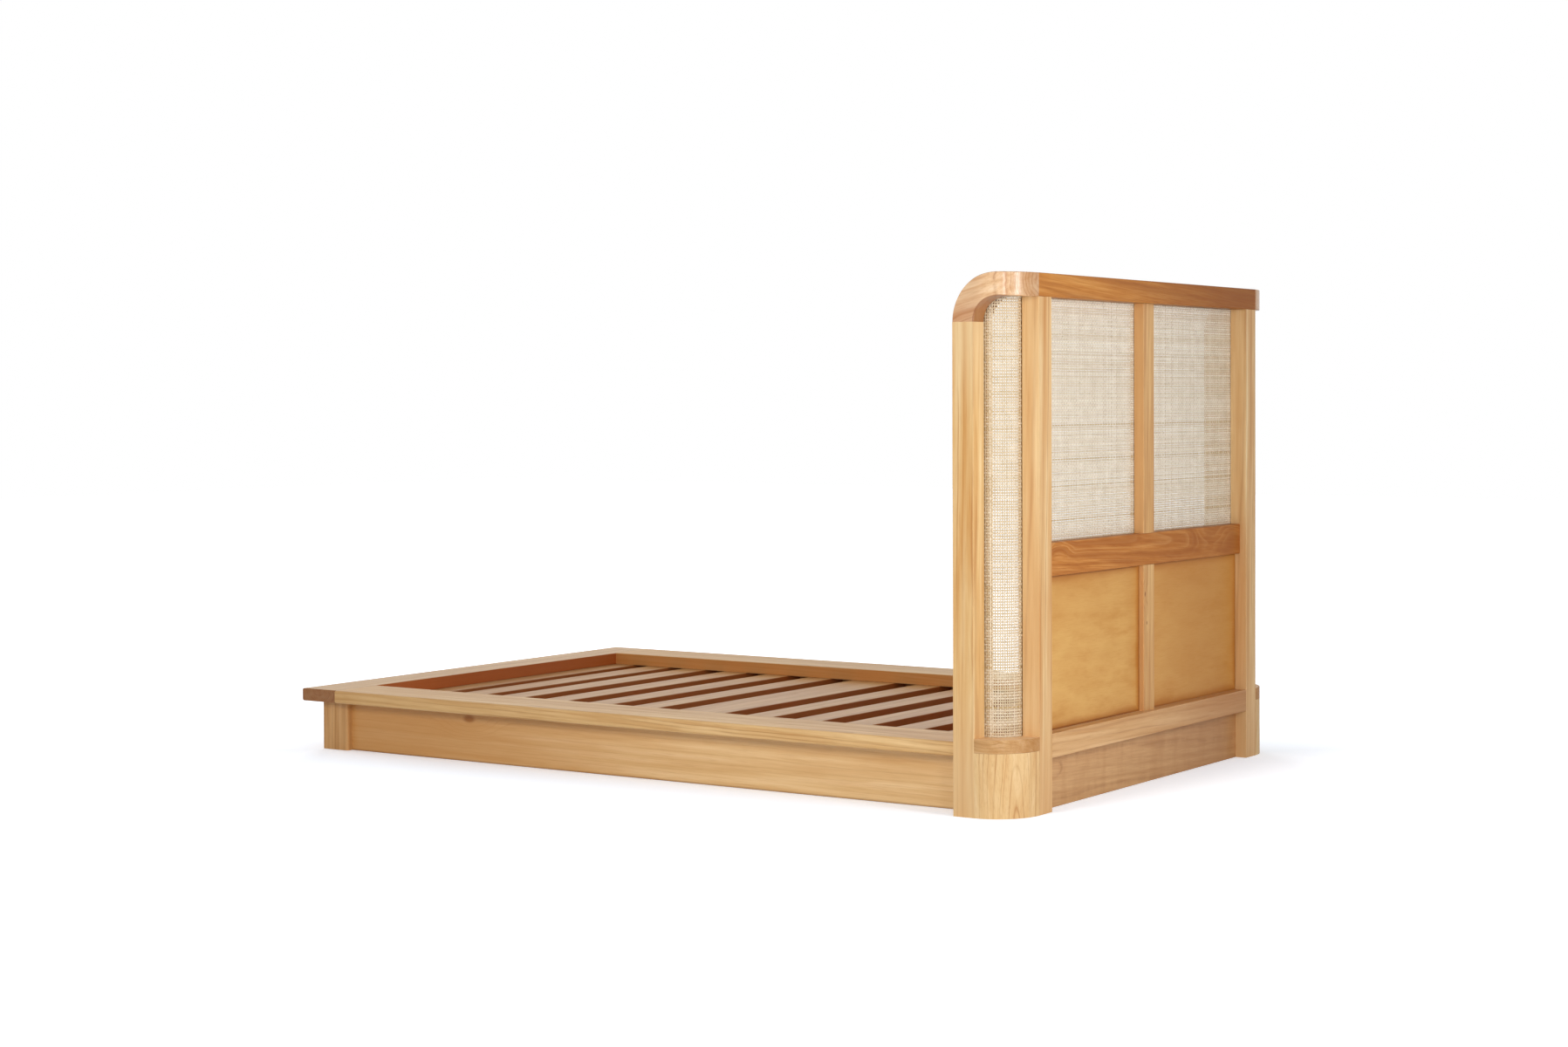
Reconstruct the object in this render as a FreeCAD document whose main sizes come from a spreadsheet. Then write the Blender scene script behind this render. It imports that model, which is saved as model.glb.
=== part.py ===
import FreeCAD, Part
import math
import os
import re
import Sketcher
from FreeCAD import Rotation, Vector

# A single bed with a winged cane headboard and a low slatted platform.
# Millimetres, +Z up, the head at +Y, the foot at -Y, origin on the floor under the middle of the bed.
# Sided pieces are made for the right side, +X, and mirrored to the left.

doc = FreeCAD.newDocument("single_bed")
sheet = doc.addObject("Spreadsheet::Sheet", "Sizes")

driving_sizes = [
    # the whole bed
    ("bed_width", "1230", "over the two wing stiles"),
    ("bed_length", "2100", "foot edge to the back of the headboard"),
    ("bed_height", "1140", "floor to the top of the headboard"),
    # headboard frame
    ("corner_radius", "100", "outside of the round corners, seen from above"),
    ("stile_width", "52", "seen width of each stile"),
    ("wing_depth", "76", "wing stile, outer face to inner face"),
    ("frame_depth", "52", "back stiles and rails, front to back"),
    ("corner_rise", "104", "height of the sweep at the top corners"),
    ("top_rail_height", "50", "top rail"),
    ("mid_rail_bottom", "497", "underside of the mid rail above the floor"),
    ("mid_rail_height", "72", "mid rail"),
    ("mid_recess", "17", "mid rail and mullions behind the back face"),
    ("mullion_width", "50", "centre mullions"),
    ("bottom_rail_bottom", "114", "underside of the bottom rail above the floor"),
    ("bottom_rail_height", "52", "bottom rail"),
    ("back_skirt_lip", "4", "frame in front of the back skirt"),
    ("back_skirt_thickness", "20", "back skirt board"),
    ("cap_bottom", "136", "height of the quarter-round base block"),
    ("cap_height", "29", "curved cap on the base block"),
    # infill of the headboard
    ("cane_lip", "7.6", "frame in front of the cane"),
    ("cane_thickness", "2.4", "woven cane sheet"),
    ("panel_recess", "30", "lower panels behind the back face"),
    ("panel_thickness", "9", "lower panels"),
    ("groove_depth", "7", "how far cane and panels enter the frame"),
    ("groove_play", "0.3", "clearance of cane and panels in their grooves"),
    # platform
    ("ledge_width", "140", "side ledges, which leave 920 between them for a 900 mattress"),
    ("ledge_top", "154", "top of the ledges above the floor"),
    ("ledge_thickness", "31", "ledge boards"),
    ("ledge_inset", "15", "side ledge inside the wing's outer face"),
    ("foot_ledge_lap", "4", "foot ledge past the inner faces of the foot legs"),
    ("foot_end_inset", "6", "foot ledge ends inside the side ledge faces"),
    ("skirt_thickness", "24", "skirts and head rail"),
    ("leg_width", "84", "foot leg, both ways"),
    ("leg_foot_inset", "30", "foot leg inside the foot edge"),
    ("leg_side_inset", "45", "foot leg inside the side ledge face"),
    ("slat_width", "76", "slats"),
    ("wide_slat_width", "138", "middle slat"),
    ("foot_slat_width", "67", "first slat, beside the foot legs"),
    ("slat_thickness", "18", "slats"),
    ("slat_end_play", "3", "slat ends to the skirts"),
    ("head_slat_width", "45", "slat beside the head rail"),
    ("ledger_width", "30", "strip that carries the slat ends"),
    ("ledger_height", "45", "strip that carries the slat ends"),
    ("beam_width", "40", "centre beam and its legs"),
    ("beam_height", "45", "centre beam"),
    # fastenings
    ("dowel_diameter", "10", "wooden dowels"),
    ("dowel_length", "36", "wooden dowels"),
    ("dowel_play", "0.3", "clearance round and behind each dowel"),
    ("bolt_diameter", "8", "bed bolts"),
    ("bolt_head_diameter", "13", "bed bolts"),
    ("bolt_head_height", "8", "bed bolts"),
    ("bolt_bite", "26", "bolt's reach past the board it holds"),
    ("bolt_play", "0.3", "clearance round each bolt"),
    ("hex_key_size", "6", "across the flats of the bolt's socket"),
    ("hex_key_depth", "5", "depth of the bolt's socket"),
    ("insert_diameter", "12", "threaded inserts"),
    ("insert_length", "20", "threaded inserts"),
    ("barrel_diameter", "12", "barrel nuts"),
    ("barrel_length", "18", "barrel nuts"),
    ("barrel_setback", "40", "barrel nut's centre from the skirt's end"),
    ("foot_bolt_sink", "12", "counterbore of the foot bolts"),
    ("screw_diameter", "4", "wood screws"),
    ("screw_head_diameter", "8", "wood screws"),
    ("screw_head_height", "3", "wood screws"),
    ("screw_length", "40", "wood screws"),
    ("screw_play", "0.2", "clearance round each screw"),
    # eased edges and working room
    ("stile_ease", "3", "stiles, legs and top edges"),
    ("rail_ease", "2", "rails, mullions and skirts"),
    ("ledge_ease", "5", "outer edges of the ledges"),
    ("slat_ease", "2", "slats"),
    ("joint_ease", "1", "edges along a joint"),
    ("overrun", "5", "how far a cut runs past what it cuts"),
]

derived_sizes = [
    ("half_width", "bed_width / 2"),
    ("back_y", "bed_length / 2"),
    ("foot_y", "-bed_length / 2"),
    ("corner_x", "half_width - corner_radius"),
    ("corner_y", "back_y - corner_radius"),
    ("wing_front", "corner_y - stile_width"),
    ("wing_inner", "half_width - wing_depth"),
    ("back_inner", "back_y - frame_depth"),
    ("bay_x", "corner_x - stile_width"),
    ("stile_top", "bed_height - corner_rise"),
    ("rail_underside", "bed_height - top_rail_height"),
    ("sweep_radius", "corner_rise - top_rail_height"),
    ("sweep_y", "corner_y + sweep_radius"),
    ("mid_rail_top", "mid_rail_bottom + mid_rail_height"),
    ("mid_face", "back_y - mid_recess"),
    ("mid_centre", "(mid_face + back_inner) / 2"),
    ("frame_centre", "back_y - frame_depth / 2"),
    ("bottom_rail_top", "bottom_rail_bottom + bottom_rail_height"),
    ("cap_top", "cap_bottom + cap_height"),
    ("cane_recess", "frame_depth - cane_lip - cane_thickness"),
    ("cane_radius", "corner_radius - cane_recess"),
    ("ledge_bottom", "ledge_top - ledge_thickness"),
    ("ledge_outer", "half_width - ledge_inset"),
    ("ledge_inner", "ledge_outer - ledge_width"),
    ("skirt_outer", "wing_inner"),
    ("skirt_inner", "skirt_outer - skirt_thickness"),
    ("skirt_centre", "skirt_outer - skirt_thickness / 2"),
    ("head_rail_front", "back_inner - skirt_thickness"),
    ("leg_outer", "ledge_outer - leg_side_inset"),
    ("leg_inner", "leg_outer - leg_width"),
    ("leg_front", "foot_y + leg_foot_inset"),
    ("leg_back", "leg_front + leg_width"),
    ("foot_inner", "leg_back + foot_ledge_lap"),
    ("foot_ledge_width", "foot_inner - foot_y"),
    ("foot_skirt_front", "leg_front + leg_outer - skirt_outer"),
    ("foot_skirt_back", "foot_skirt_front + skirt_thickness"),
    ("slat_bottom", "ledge_bottom - slat_thickness"),
    ("slat_end", "skirt_inner - slat_end_play"),
    ("ledger_bottom", "slat_bottom - ledger_height"),
    ("ledger_inner", "skirt_inner - ledger_width"),
    ("beam_bottom", "slat_bottom - beam_height"),
    ("dowel_radius", "dowel_diameter / 2"),
    ("bolt_radius", "bolt_diameter / 2"),
    ("bolt_length", "skirt_thickness + bolt_bite"),
    ("foot_bolt_length", "leg_width - foot_bolt_sink + barrel_setback + barrel_diameter"),
    ("screw_radius", "screw_diameter / 2"),
]

slat_widths = ["foot_slat_width"] + 5 * ["slat_width"] + ["wide_slat_width"] + 6 * ["slat_width"]
slat_gap_shares = (0.06, 0.063) + 10 * (0.0816,) + (0.061,)
ledger_screw_shares = (0.04, 0.27, 0.5, 0.73, 0.96)
ledge_dowel_shares = (0.05, 0.28, 0.5, 0.72, 0.93)
pair_shares = (0.3, 0.7)
wide_pair_shares = (0.2, 0.8)
middle_share = (0.5,)
bolt_height_shares = (0.3, 0.75)
beam_leg_shares = (0.33, 0.67)
cap_dowel_share = 0.55

# The slats run from the foot legs to the head slat, and share out the room that they leave
slat_names = ["slat_%02d" % number for number in range(1, len(slat_widths) + 1)]
derived_sizes.append(("slat_room", "head_rail_front - head_slat_width - leg_back - slat_end_play - ("
                      + " + ".join(slat_widths) + ")"))
slat_start = "leg_back + slat_end_play"
for name, width, share in zip(slat_names, slat_widths, slat_gap_shares):
    derived_sizes.append((name + "_low", slat_start))
    derived_sizes.append((name + "_high", "%s_low + %s" % (name, width)))
    slat_start = "%s_high + slat_room * %s" % (name, share)

for row, (alias, number, note) in enumerate(driving_sizes, start=1):
    sheet.set("A%d" % row, note)
    sheet.set("B%d" % row, number)
    sheet.setAlias("B%d" % row, alias)
for row, (alias, formula) in enumerate(derived_sizes, start=len(driving_sizes) + 1):
    sheet.set("B%d" % row, "=" + formula)
    sheet.setAlias("B%d" % row, alias)
doc.recompute()
size_names = {entry[0] for entry in driving_sizes + derived_sizes}

turns = {
    "+X": Rotation(Vector(0, 1, 0), 90),
    "+Y": Rotation(Vector(1, 0, 0), -90),
    "+Z": Rotation(),
    "-Z": Rotation(Vector(1, 0, 0), 180),
}
base_planes = {"X": "YZ_Plane", "Y": "XZ_Plane", "Z": "XY_Plane"}
pieces = []
cuts_for = {}
groups = {}


# Formulas: each size is written by its name in the sheet

def in_sheet(formula):
    def owned(match):
        word = match.group()
        return "Sizes." + word if word in size_names else word
    return re.sub(r"[A-Za-z_]\w*", owned, formula)


def tie(item, prop, formula):
    item.setExpression(prop, in_sheet(formula))


def value(formula):
    return float(sheet.evalExpression(in_sheet(formula)))


def put(item, spot):
    for axis, formula in zip("xyz", spot):
        tie(item, ".Placement.Base." + axis, formula)


def along(spot, way, distance):
    moved = list(spot)
    place = "XYZ".index(way[1])
    moved[place] = "%s %s (%s)" % (spot[place], way[0], distance)
    return moved


def between(low, high, share):
    return "(%s) + ((%s) - (%s)) * %s" % (low, high, low, share)


# Sketches and solids

def outline(body, name, axis, corners):
    # a corner is (x, y), or (x, y, radius, centre x, centre y, turn) where an arc runs to the next corner
    sketch = body.newObject("Sketcher::SketchObject", name)
    plane = [item for item in body.Origin.OriginFeatures if item.Role == base_planes[axis]]
    sketch.AttachmentSupport = [(plane[0], "")]
    sketch.MapMode = "FlatFace"
    spots = [Vector(value(corner[0]), value(corner[1]), 0) for corner in corners]
    starts = []
    ends = []
    for index, corner in enumerate(corners):
        here = spots[index]
        there = spots[(index + 1) % len(spots)]
        if len(corner) == 2:
            sketch.addGeometry(Part.LineSegment(here, there))
            starts.append(1)
            ends.append(2)
            continue
        centre = Vector(value(corner[3]), value(corner[4]), 0)
        circle = Part.Circle(centre, Vector(0, 0, 1), value(corner[2]))
        first, last = (here, there) if corner[5] == "left" else (there, here)
        angles = [math.atan2(spot.y - centre.y, spot.x - centre.x) for spot in (first, last)]
        sketch.addGeometry(Part.ArcOfCircle(circle, angles[0], angles[1]))
        starts.append(1 if corner[5] == "left" else 2)
        ends.append(2 if corner[5] == "left" else 1)
    for index, corner in enumerate(corners):
        after = (index + 1) % len(corners)
        sketch.addConstraint(Sketcher.Constraint("Coincident", index, ends[index], after, starts[after]))
        for kind, formula, line in (("DistanceX", corner[0], -2), ("DistanceY", corner[1], -1)):
            if formula == "0":
                sketch.addConstraint(Sketcher.Constraint("PointOnObject", index, starts[index], line))
                continue
            bound = Sketcher.Constraint(kind, -1, 1, index, starts[index], value(formula))
            tie(sketch, "Constraints[%d]" % sketch.addConstraint(bound), formula)
        if len(corner) > 2:
            bound = Sketcher.Constraint("Radius", index, value(corner[2]))
            tie(sketch, "Constraints[%d]" % sketch.addConstraint(bound), corner[2])
    return sketch


def padded(name, axis, corners, thickness, spot):
    body = doc.addObject("PartDesign::Body", name)
    sketch = outline(body, name + "_outline", axis, corners)
    pad = body.newObject("PartDesign::Pad", name + "_pad")
    pad.Profile = sketch
    pad.Reversed = axis == "Y"
    tie(pad, "Length", thickness)
    put(body, spot)
    doc.recompute()
    return body


def eased(body, radius, wanted):
    # rounds the straight or curved edges that the test picks, in the body's own frame
    whole = body.Tip
    fillet = body.newObject("PartDesign::Fillet", body.Name + "_ease")
    names = ["Edge%d" % number for number, edge in enumerate(whole.Shape.Edges, start=1) if wanted(edge)]
    fillet.Base = (whole, names)
    tie(fillet, "Radius", radius)
    body.Tip = fillet
    doc.recompute()
    return body


def runs_along(axis):
    def test(edge):
        box = edge.BoundBox
        spans = {"X": box.XLength, "Y": box.YLength, "Z": box.ZLength}
        return math.isclose(edge.Length, spans[axis], rel_tol=1e-6)
    return test


def runs_at(axis, other, place):
    # edges along one axis whose middle lies at a given place on another
    def test(edge):
        middle = edge.BoundBox.Center
        found = {"X": middle.x, "Y": middle.y, "Z": middle.z}[other]
        return runs_along(axis)(edge) and math.isclose(found, value(place), abs_tol=value("joint_ease") / 2)
    return test


def board(name, axis, spans, ease):
    # a board whose grain and eased edges run along one axis
    widths = {"X": "(%s) - (%s)" % (spans[1], spans[0]),
              "Y": "(%s) - (%s)" % (spans[3], spans[2]),
              "Z": "(%s) - (%s)" % (spans[5], spans[4])}
    across, up = [widths[letter] for letter in "XYZ" if letter != axis]
    corners = [("0", "0"), (across, "0"), (across, up), ("0", up)]
    body = padded(name, axis, corners, widths[axis], (spans[0], spans[2], spans[4]))
    return eased(body, ease, runs_along(axis))


def box(name, spans):
    item = doc.addObject("Part::Box", name)
    tie(item, "Length", "(%s) - (%s)" % (spans[1], spans[0]))
    tie(item, "Width", "(%s) - (%s)" % (spans[3], spans[2]))
    tie(item, "Height", "(%s) - (%s)" % (spans[5], spans[4]))
    put(item, (spans[0], spans[2], spans[4]))
    return item


def rod(name, spot, way, radius, length):
    item = doc.addObject("Part::Cylinder", name)
    tie(item, "Radius", radius)
    tie(item, "Height", length)
    item.Placement.Rotation = turns[way]
    put(item, spot)
    return item


def joined(name, parts):
    if len(parts) == 1:
        return parts[0]
    item = doc.addObject("Part::MultiFuse", name)
    item.Shapes = parts
    return item


def less(name, base, tool):
    item = doc.addObject("Part::Cut", name)
    item.Base = base
    item.Tool = tool
    return item


def shared(name, one, other):
    item = doc.addObject("Part::Common", name)
    item.Base = one
    item.Tool = other
    return item


def mirrored(name, source):
    item = doc.addObject("Part::Mirroring", name)
    item.Source = source
    item.Base = Vector(0, 0, 0)
    item.Normal = Vector(1, 0, 0)
    return item


# Pieces: a blank, its cuts, and its mirror image where there are two

def keep(label, item):
    item.Label = label
    pieces.append(item)


def cut_blank(label, blank, both_ends):
    tools = cuts_for.get(label, [])
    if not tools:
        return blank
    tool = joined(label + "_cuts", tools)
    if both_ends:
        tool = joined(label + "_all_cuts", [tool, mirrored(label + "_left_cuts", tool)])
    return less(label + "_cut", blank, tool)


def keep_middle(label, blank):
    keep(label, cut_blank(label, blank, True))


def keep_pair(label, blank):
    right = cut_blank(label, blank, False)
    left = mirrored(label + "_mirror", right)
    keep(label + "_right", right)
    keep(label + "_left", left)


def keep_group(label):
    right = doc.addObject("Part::Compound", label + "_near")
    right.Links = groups[label]
    both = doc.addObject("Part::Compound", label + "_both")
    both.Links = [right, mirrored(label + "_far", right)]
    keep(label, both)


def cut_into(labels, tool):
    for label in labels:
        cuts_for.setdefault(label, []).append(tool)


def add_to(group, item):
    groups.setdefault(group, []).append(item)
    return len(groups[group])


# Fastenings: each makes its own holes in the pieces that it joins

def dowel(group, spot, way, labels):
    count = len(groups.get(group, []))
    start = along(spot, way, "-dowel_length / 2")
    pin = rod("%s_pin_%d" % (group, count), start, way, "dowel_radius", "dowel_length")
    add_to(group, pin)
    start = along(start, way, "-dowel_play")
    hole = rod("%s_hole_%d" % (group, count), start, way, "dowel_radius + dowel_play",
               "dowel_length + 2 * dowel_play")
    cut_into(labels, hole)


def bolt(spot, way, length):
    count = len(groups.get("bed_bolts", []))
    name = "bolt_%d" % count
    head_start = along(spot, way, "-bolt_head_height")
    shank = rod(name + "_shank", spot, way, "bolt_radius", length)
    head = rod(name + "_head", head_start, way, "bolt_head_diameter / 2", "bolt_head_height")
    socket = doc.addObject("Part::Prism", name + "_socket")
    socket.Polygon = 6
    tie(socket, "Circumradius", "hex_key_size / sqrt(3)")
    tie(socket, "Height", "hex_key_depth")
    socket.Placement.Rotation = turns[way]
    put(socket, head_start)
    add_to("bed_bolts", less(name, joined(name + "_body", [shank, head]), socket))


def bolt_hole(spot, way, length, labels):
    name = "bolt_hole_%d_%s" % (len(groups.get("bed_bolts", [])), labels[0])
    cut_into(labels, rod(name, spot, way, "bolt_radius + bolt_play", length))


def insert(spot, way, label):
    # a threaded sleeve at the mouth of a blind hole that leaves room for the bolt's end
    count = len(groups.get("threaded_inserts", []))
    name = "insert_%d" % count
    sleeve = rod(name + "_sleeve", spot, way, "insert_diameter / 2", "insert_length")
    bore = rod(name + "_bore", spot, way, "bolt_radius + bolt_play", "insert_length")
    add_to("threaded_inserts", less(name, sleeve, bore))
    cut_into([label], rod(name + "_seat", spot, way, "insert_diameter / 2 + bolt_play", "insert_length"))
    bolt_hole(spot, way, "bolt_bite + bolt_play", [label])


def screw(group, spot, way, labels):
    count = len(groups.get(group, []))
    shapes = []
    for kind, play in (("screw", "0"), ("hole", "screw_play")):
        name = "%s_%s_%d" % (group, kind, count)
        head = doc.addObject("Part::Cone", name + "_head")
        tie(head, "Radius1", "screw_head_diameter / 2 + " + play)
        tie(head, "Radius2", "screw_radius + " + play)
        tie(head, "Height", "screw_head_height")
        head.Placement.Rotation = turns[way]
        put(head, spot)
        shank = rod(name + "_shank", spot, way, "screw_radius + " + play, "screw_length + " + play)
        shapes.append(joined(name, [head, shank]))
    add_to(group, shapes[0])
    cut_into(labels, shapes[1])


# Cane and panels: each sheet enters its frame in a groove a little larger than itself

def sheet_and_seat(label, spans, labels):
    low_x, high_x, low_y, high_y, low_z, high_z = spans
    sheet_box = box(label + "_sheet", (low_x + " - groove_depth", high_x + " + groove_depth", low_y, high_y,
                                       low_z + " - groove_depth", high_z + " + groove_depth"))
    reach = "groove_depth + groove_play"
    seat = box(label + "_seat", ("%s - (%s)" % (low_x, reach), "%s + %s" % (high_x, reach),
                                 low_y + " - groove_play", high_y + " + groove_play",
                                 "%s - (%s)" % (low_z, reach), "%s + %s" % (high_z, reach)))
    cut_into(labels, seat)
    keep_pair(label, sheet_box)


def corner_sheet(name, play):
    # quarter of a tube with straight margins in the two stiles, cut to follow the sweep above it
    margin = "(groove_depth + %s)" % play
    outer = "(cane_radius + %s)" % play
    inner = "(cane_radius - cane_thickness - %s)" % play
    far = "%s + %s" % (margin, outer)
    near = "%s + %s" % (margin, inner)
    plan = padded(name + "_plan", "Z", [
        (near, "0"), (far, "0"), (far, margin, outer, margin, margin, "left"), (margin, far),
        ("0", far), ("0", near), (margin, near, inner, margin, margin, "right"), (near, margin),
    ], "bed_height", ("corner_x - " + margin, "corner_y - " + margin, "0"))
    sweep = "(sweep_radius + %s)" % margin
    foot = "(cap_top - %s)" % margin
    side = padded(name + "_side", "X", [
        ("corner_y - " + margin, foot), ("back_y", foot), ("back_y", "rail_underside + " + margin),
        ("sweep_y", "rail_underside + " + margin, sweep, "sweep_y", "stile_top", "left"),
        ("corner_y - " + margin, "stile_top"),
    ], "bed_width", ("0", "0", "0"))
    return shared(name, plan, side)


# Headboard corner: wing stile, back stile, base block, cap and swept top piece

wing_stile = board("wing_stile_blank", "Z",
                   ("wing_inner", "half_width", "wing_front", "corner_y", "0", "stile_top"), "joint_ease")
back_stile = board("back_stile_blank", "Z",
                   ("bay_x", "corner_x", "back_inner", "back_y", "0", "rail_underside"), "joint_ease")

round_plan = [
    ("wing_inner - corner_x", "0"),
    ("corner_radius", "0", "corner_radius", "0", "0", "left"),
    ("0", "corner_radius"),
    ("0", "corner_radius - frame_depth"),
    ("wing_inner - corner_x", "corner_radius - frame_depth"),
]
base_block = padded("base_block_blank", "Z", round_plan, "cap_bottom", ("corner_x", "corner_y", "0"))
base_cap = padded("base_cap_blank", "Z", round_plan, "cap_height", ("corner_x", "corner_y", "cap_bottom"))
base_cap = eased(base_cap, "joint_ease",
                 lambda edge: edge.BoundBox.ZLength < value("joint_ease") and edge.Closed is False
                 and edge.Curve.TypeId == "Part::GeomCircle")

sweep_plan = padded("top_corner_plan", "Z", [
    ("wing_inner - corner_x", "0"),
    ("corner_radius", "0"),
    ("corner_radius", "stile_width", "corner_radius", "0", "stile_width", "left"),
    ("0", "stile_width + corner_radius"),
    ("0", "stile_width + corner_radius - frame_depth"),
    ("wing_inner - corner_x", "stile_width + corner_radius - frame_depth"),
], "corner_rise", ("corner_x", "wing_front", "stile_top"))
sweep_side = padded("top_corner_side", "X", [
    ("wing_front", "stile_top"),
    ("corner_y", "stile_top", "sweep_radius", "sweep_y", "stile_top", "right"),
    ("sweep_y", "rail_underside"),
    ("back_y + overrun", "rail_underside"),
    ("back_y + overrun", "bed_height"),
    ("wing_front + corner_rise", "bed_height",
     "corner_rise", "wing_front + corner_rise", "stile_top", "left"),
], "bed_width", ("0", "0", "0"))
top_corner = shared("top_corner_blank", sweep_plan, sweep_side)
doc.recompute()


def swept_edge(edge):
    # the outer rim of the sweep: edges of the outer faces that lie above the joint and off the rail's end
    middle = edge.valueAt((edge.FirstParameter + edge.LastParameter) / 2)
    over_joint = middle.z > value("stile_top") + value("joint_ease")
    off_end = middle.x > value("corner_x") + value("joint_ease")
    outside = middle.x > value("half_width") - value("joint_ease")
    round_side = math.hypot(middle.x - value("corner_x"), middle.y - value("corner_y"))
    on_round = math.isclose(round_side, value("corner_radius"), abs_tol=value("joint_ease") / 2)
    upright = runs_along("Z")(edge)
    return over_joint and off_end and not upright and (outside or on_round)


top_corner_eased = doc.addObject("Part::Fillet", "top_corner_eased")
top_corner_eased.Base = top_corner
top_corner_eased.Edges = [(number, value("rail_ease"), value("rail_ease"))
                          for number, edge in enumerate(top_corner.Shape.Edges, start=1) if swept_edge(edge)]

corner_seat = corner_sheet("corner_cane_seat", "groove_play")
cut_into(["wing_stile", "back_stile", "base_cap", "top_corner", "top_rail"], corner_seat)
keep_pair("corner_cane", corner_sheet("corner_cane_sheet", "0"))

# Headboard back: rails, mullions, cane, panels and skirt

top_rail = board("top_rail_blank", "X",
                 ("-corner_x", "corner_x", "back_inner", "back_y", "rail_underside", "bed_height"),
                 "rail_ease")
mid_rail = board("mid_rail_blank", "X",
                 ("-bay_x", "bay_x", "back_inner", "mid_face", "mid_rail_bottom", "mid_rail_top"),
                 "rail_ease")
bottom_rail = board("bottom_rail_blank", "X",
                    ("-bay_x", "bay_x", "back_inner", "back_y", "bottom_rail_bottom", "bottom_rail_top"),
                    "rail_ease")
half_mullion = "mullion_width / 2"
upper_mullion = board("upper_mullion_blank", "Z", ("-" + half_mullion, half_mullion, "back_inner", "mid_face",
                                                   "mid_rail_top", "rail_underside"), "rail_ease")
lower_mullion = board("lower_mullion_blank", "Z", ("-" + half_mullion, half_mullion, "back_inner", "mid_face",
                                                   "bottom_rail_top", "mid_rail_bottom"), "rail_ease")
back_skirt_front = "back_inner + back_skirt_lip"
back_skirt = board("back_skirt_blank", "X",
                   ("-bay_x", "bay_x", back_skirt_front, back_skirt_front + " + back_skirt_thickness",
                    "0", "bottom_rail_bottom"), "joint_ease")

cane_face = "back_y - cane_recess"
sheet_and_seat("back_cane", (half_mullion, "bay_x", cane_face + " - cane_thickness", cane_face,
                             "mid_rail_top", "rail_underside"),
               ["back_stile", "upper_mullion", "mid_rail", "top_rail"])
panel_face = "back_y - panel_recess"
sheet_and_seat("lower_panel", (half_mullion, "bay_x", panel_face + " - panel_thickness", panel_face,
                               "bottom_rail_top", "mid_rail_bottom"),
               ["back_stile", "lower_mullion", "mid_rail", "bottom_rail"])

frame_joints = [
    # joint's middle and its spread along one axis, the dowels' way, and the pieces joined
    (("corner_x", None, "bed_height - top_rail_height / 2"), ("back_inner", "back_y"), "+X",
     ["top_rail", "top_corner"]),
    ((None, "frame_centre", "rail_underside"), ("bay_x", "corner_x"), "+Z", ["top_rail", "back_stile"]),
    ((None, "corner_y - stile_width / 2", "stile_top"), ("wing_inner", "half_width"), "+Z",
     ["top_corner", "wing_stile"]),
    (("bay_x", "mid_centre", None), ("mid_rail_bottom", "mid_rail_top"), "+X", ["mid_rail", "back_stile"]),
    (("bay_x", "frame_centre", None), ("bottom_rail_bottom", "bottom_rail_top - groove_depth"), "+X",
     ["bottom_rail", "back_stile"]),
    (("bay_x", back_skirt_front + " + back_skirt_thickness / 2", None), ("0", "bottom_rail_bottom"), "+X",
     ["back_skirt", "back_stile"]),
    (("half_width - wing_depth / 3", "corner_y", None), ("0", "cap_bottom"), "+Y",
     ["base_block", "wing_stile"]),
    (("corner_x", "back_y - frame_depth / 3", None), ("0", "cap_bottom"), "+X",
     ["base_block", "back_stile"]),
]
for spot, spread, way, labels in frame_joints:
    for share in pair_shares:
        place = between(spread[0], spread[1], share)
        dowel("frame_dowels", [place if formula is None else formula for formula in spot], way, labels)
mullion_side = "mullion_width / 4"
for height, labels in (("rail_underside", ["top_rail", "upper_mullion"]),
                       ("mid_rail_top", ["mid_rail", "upper_mullion"]),
                       ("mid_rail_bottom", ["mid_rail", "lower_mullion"]),
                       ("bottom_rail_top", ["bottom_rail", "lower_mullion"])):
    dowel("frame_dowels", (mullion_side, "mid_centre", height), "+Z", labels)
cap_dowel_x = "corner_x + corner_radius * %s" % cap_dowel_share
cap_dowel_y = "corner_y + corner_radius * %s" % cap_dowel_share
dowel("frame_dowels", (cap_dowel_x, cap_dowel_y, "cap_bottom"), "+Z", ["base_block", "base_cap"])

# Platform: ledges, skirts, legs, head rail, ledgers, beam and slats

side_ledge = padded("side_ledge_blank", "Z", [
    ("0", "0"),
    ("ledge_outer - ledge_inner", "0"),
    ("ledge_outer - ledge_inner", "wing_front - foot_inner"),
    ("wing_inner - ledge_inner", "wing_front - foot_inner"),
    ("wing_inner - ledge_inner", "back_inner - foot_inner"),
    ("0", "back_inner - foot_inner"),
], "ledge_thickness", ("ledge_inner", "foot_inner", "ledge_bottom"))
side_ledge = eased(side_ledge, "ledge_ease", runs_at("Y", "X", "ledge_outer - ledge_inner"))
side_ledge = eased(side_ledge, "slat_ease", runs_at("Y", "X", "0"))

foot_end = "ledge_outer - foot_end_inset"
foot_ledge = padded("foot_ledge_blank", "Z", [
    ("0", "0"),
    ("2 * (%s)" % foot_end, "0"),
    ("2 * (%s)" % foot_end, "foot_ledge_width"),
    ("0", "foot_ledge_width"),
], "ledge_thickness", ("-(%s)" % foot_end, "foot_y", "ledge_bottom"))
foot_ledge = eased(foot_ledge, "ledge_ease", runs_at("X", "Y", "0"))
foot_ledge = eased(foot_ledge, "joint_ease", runs_at("X", "Y", "foot_ledge_width"))

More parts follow.
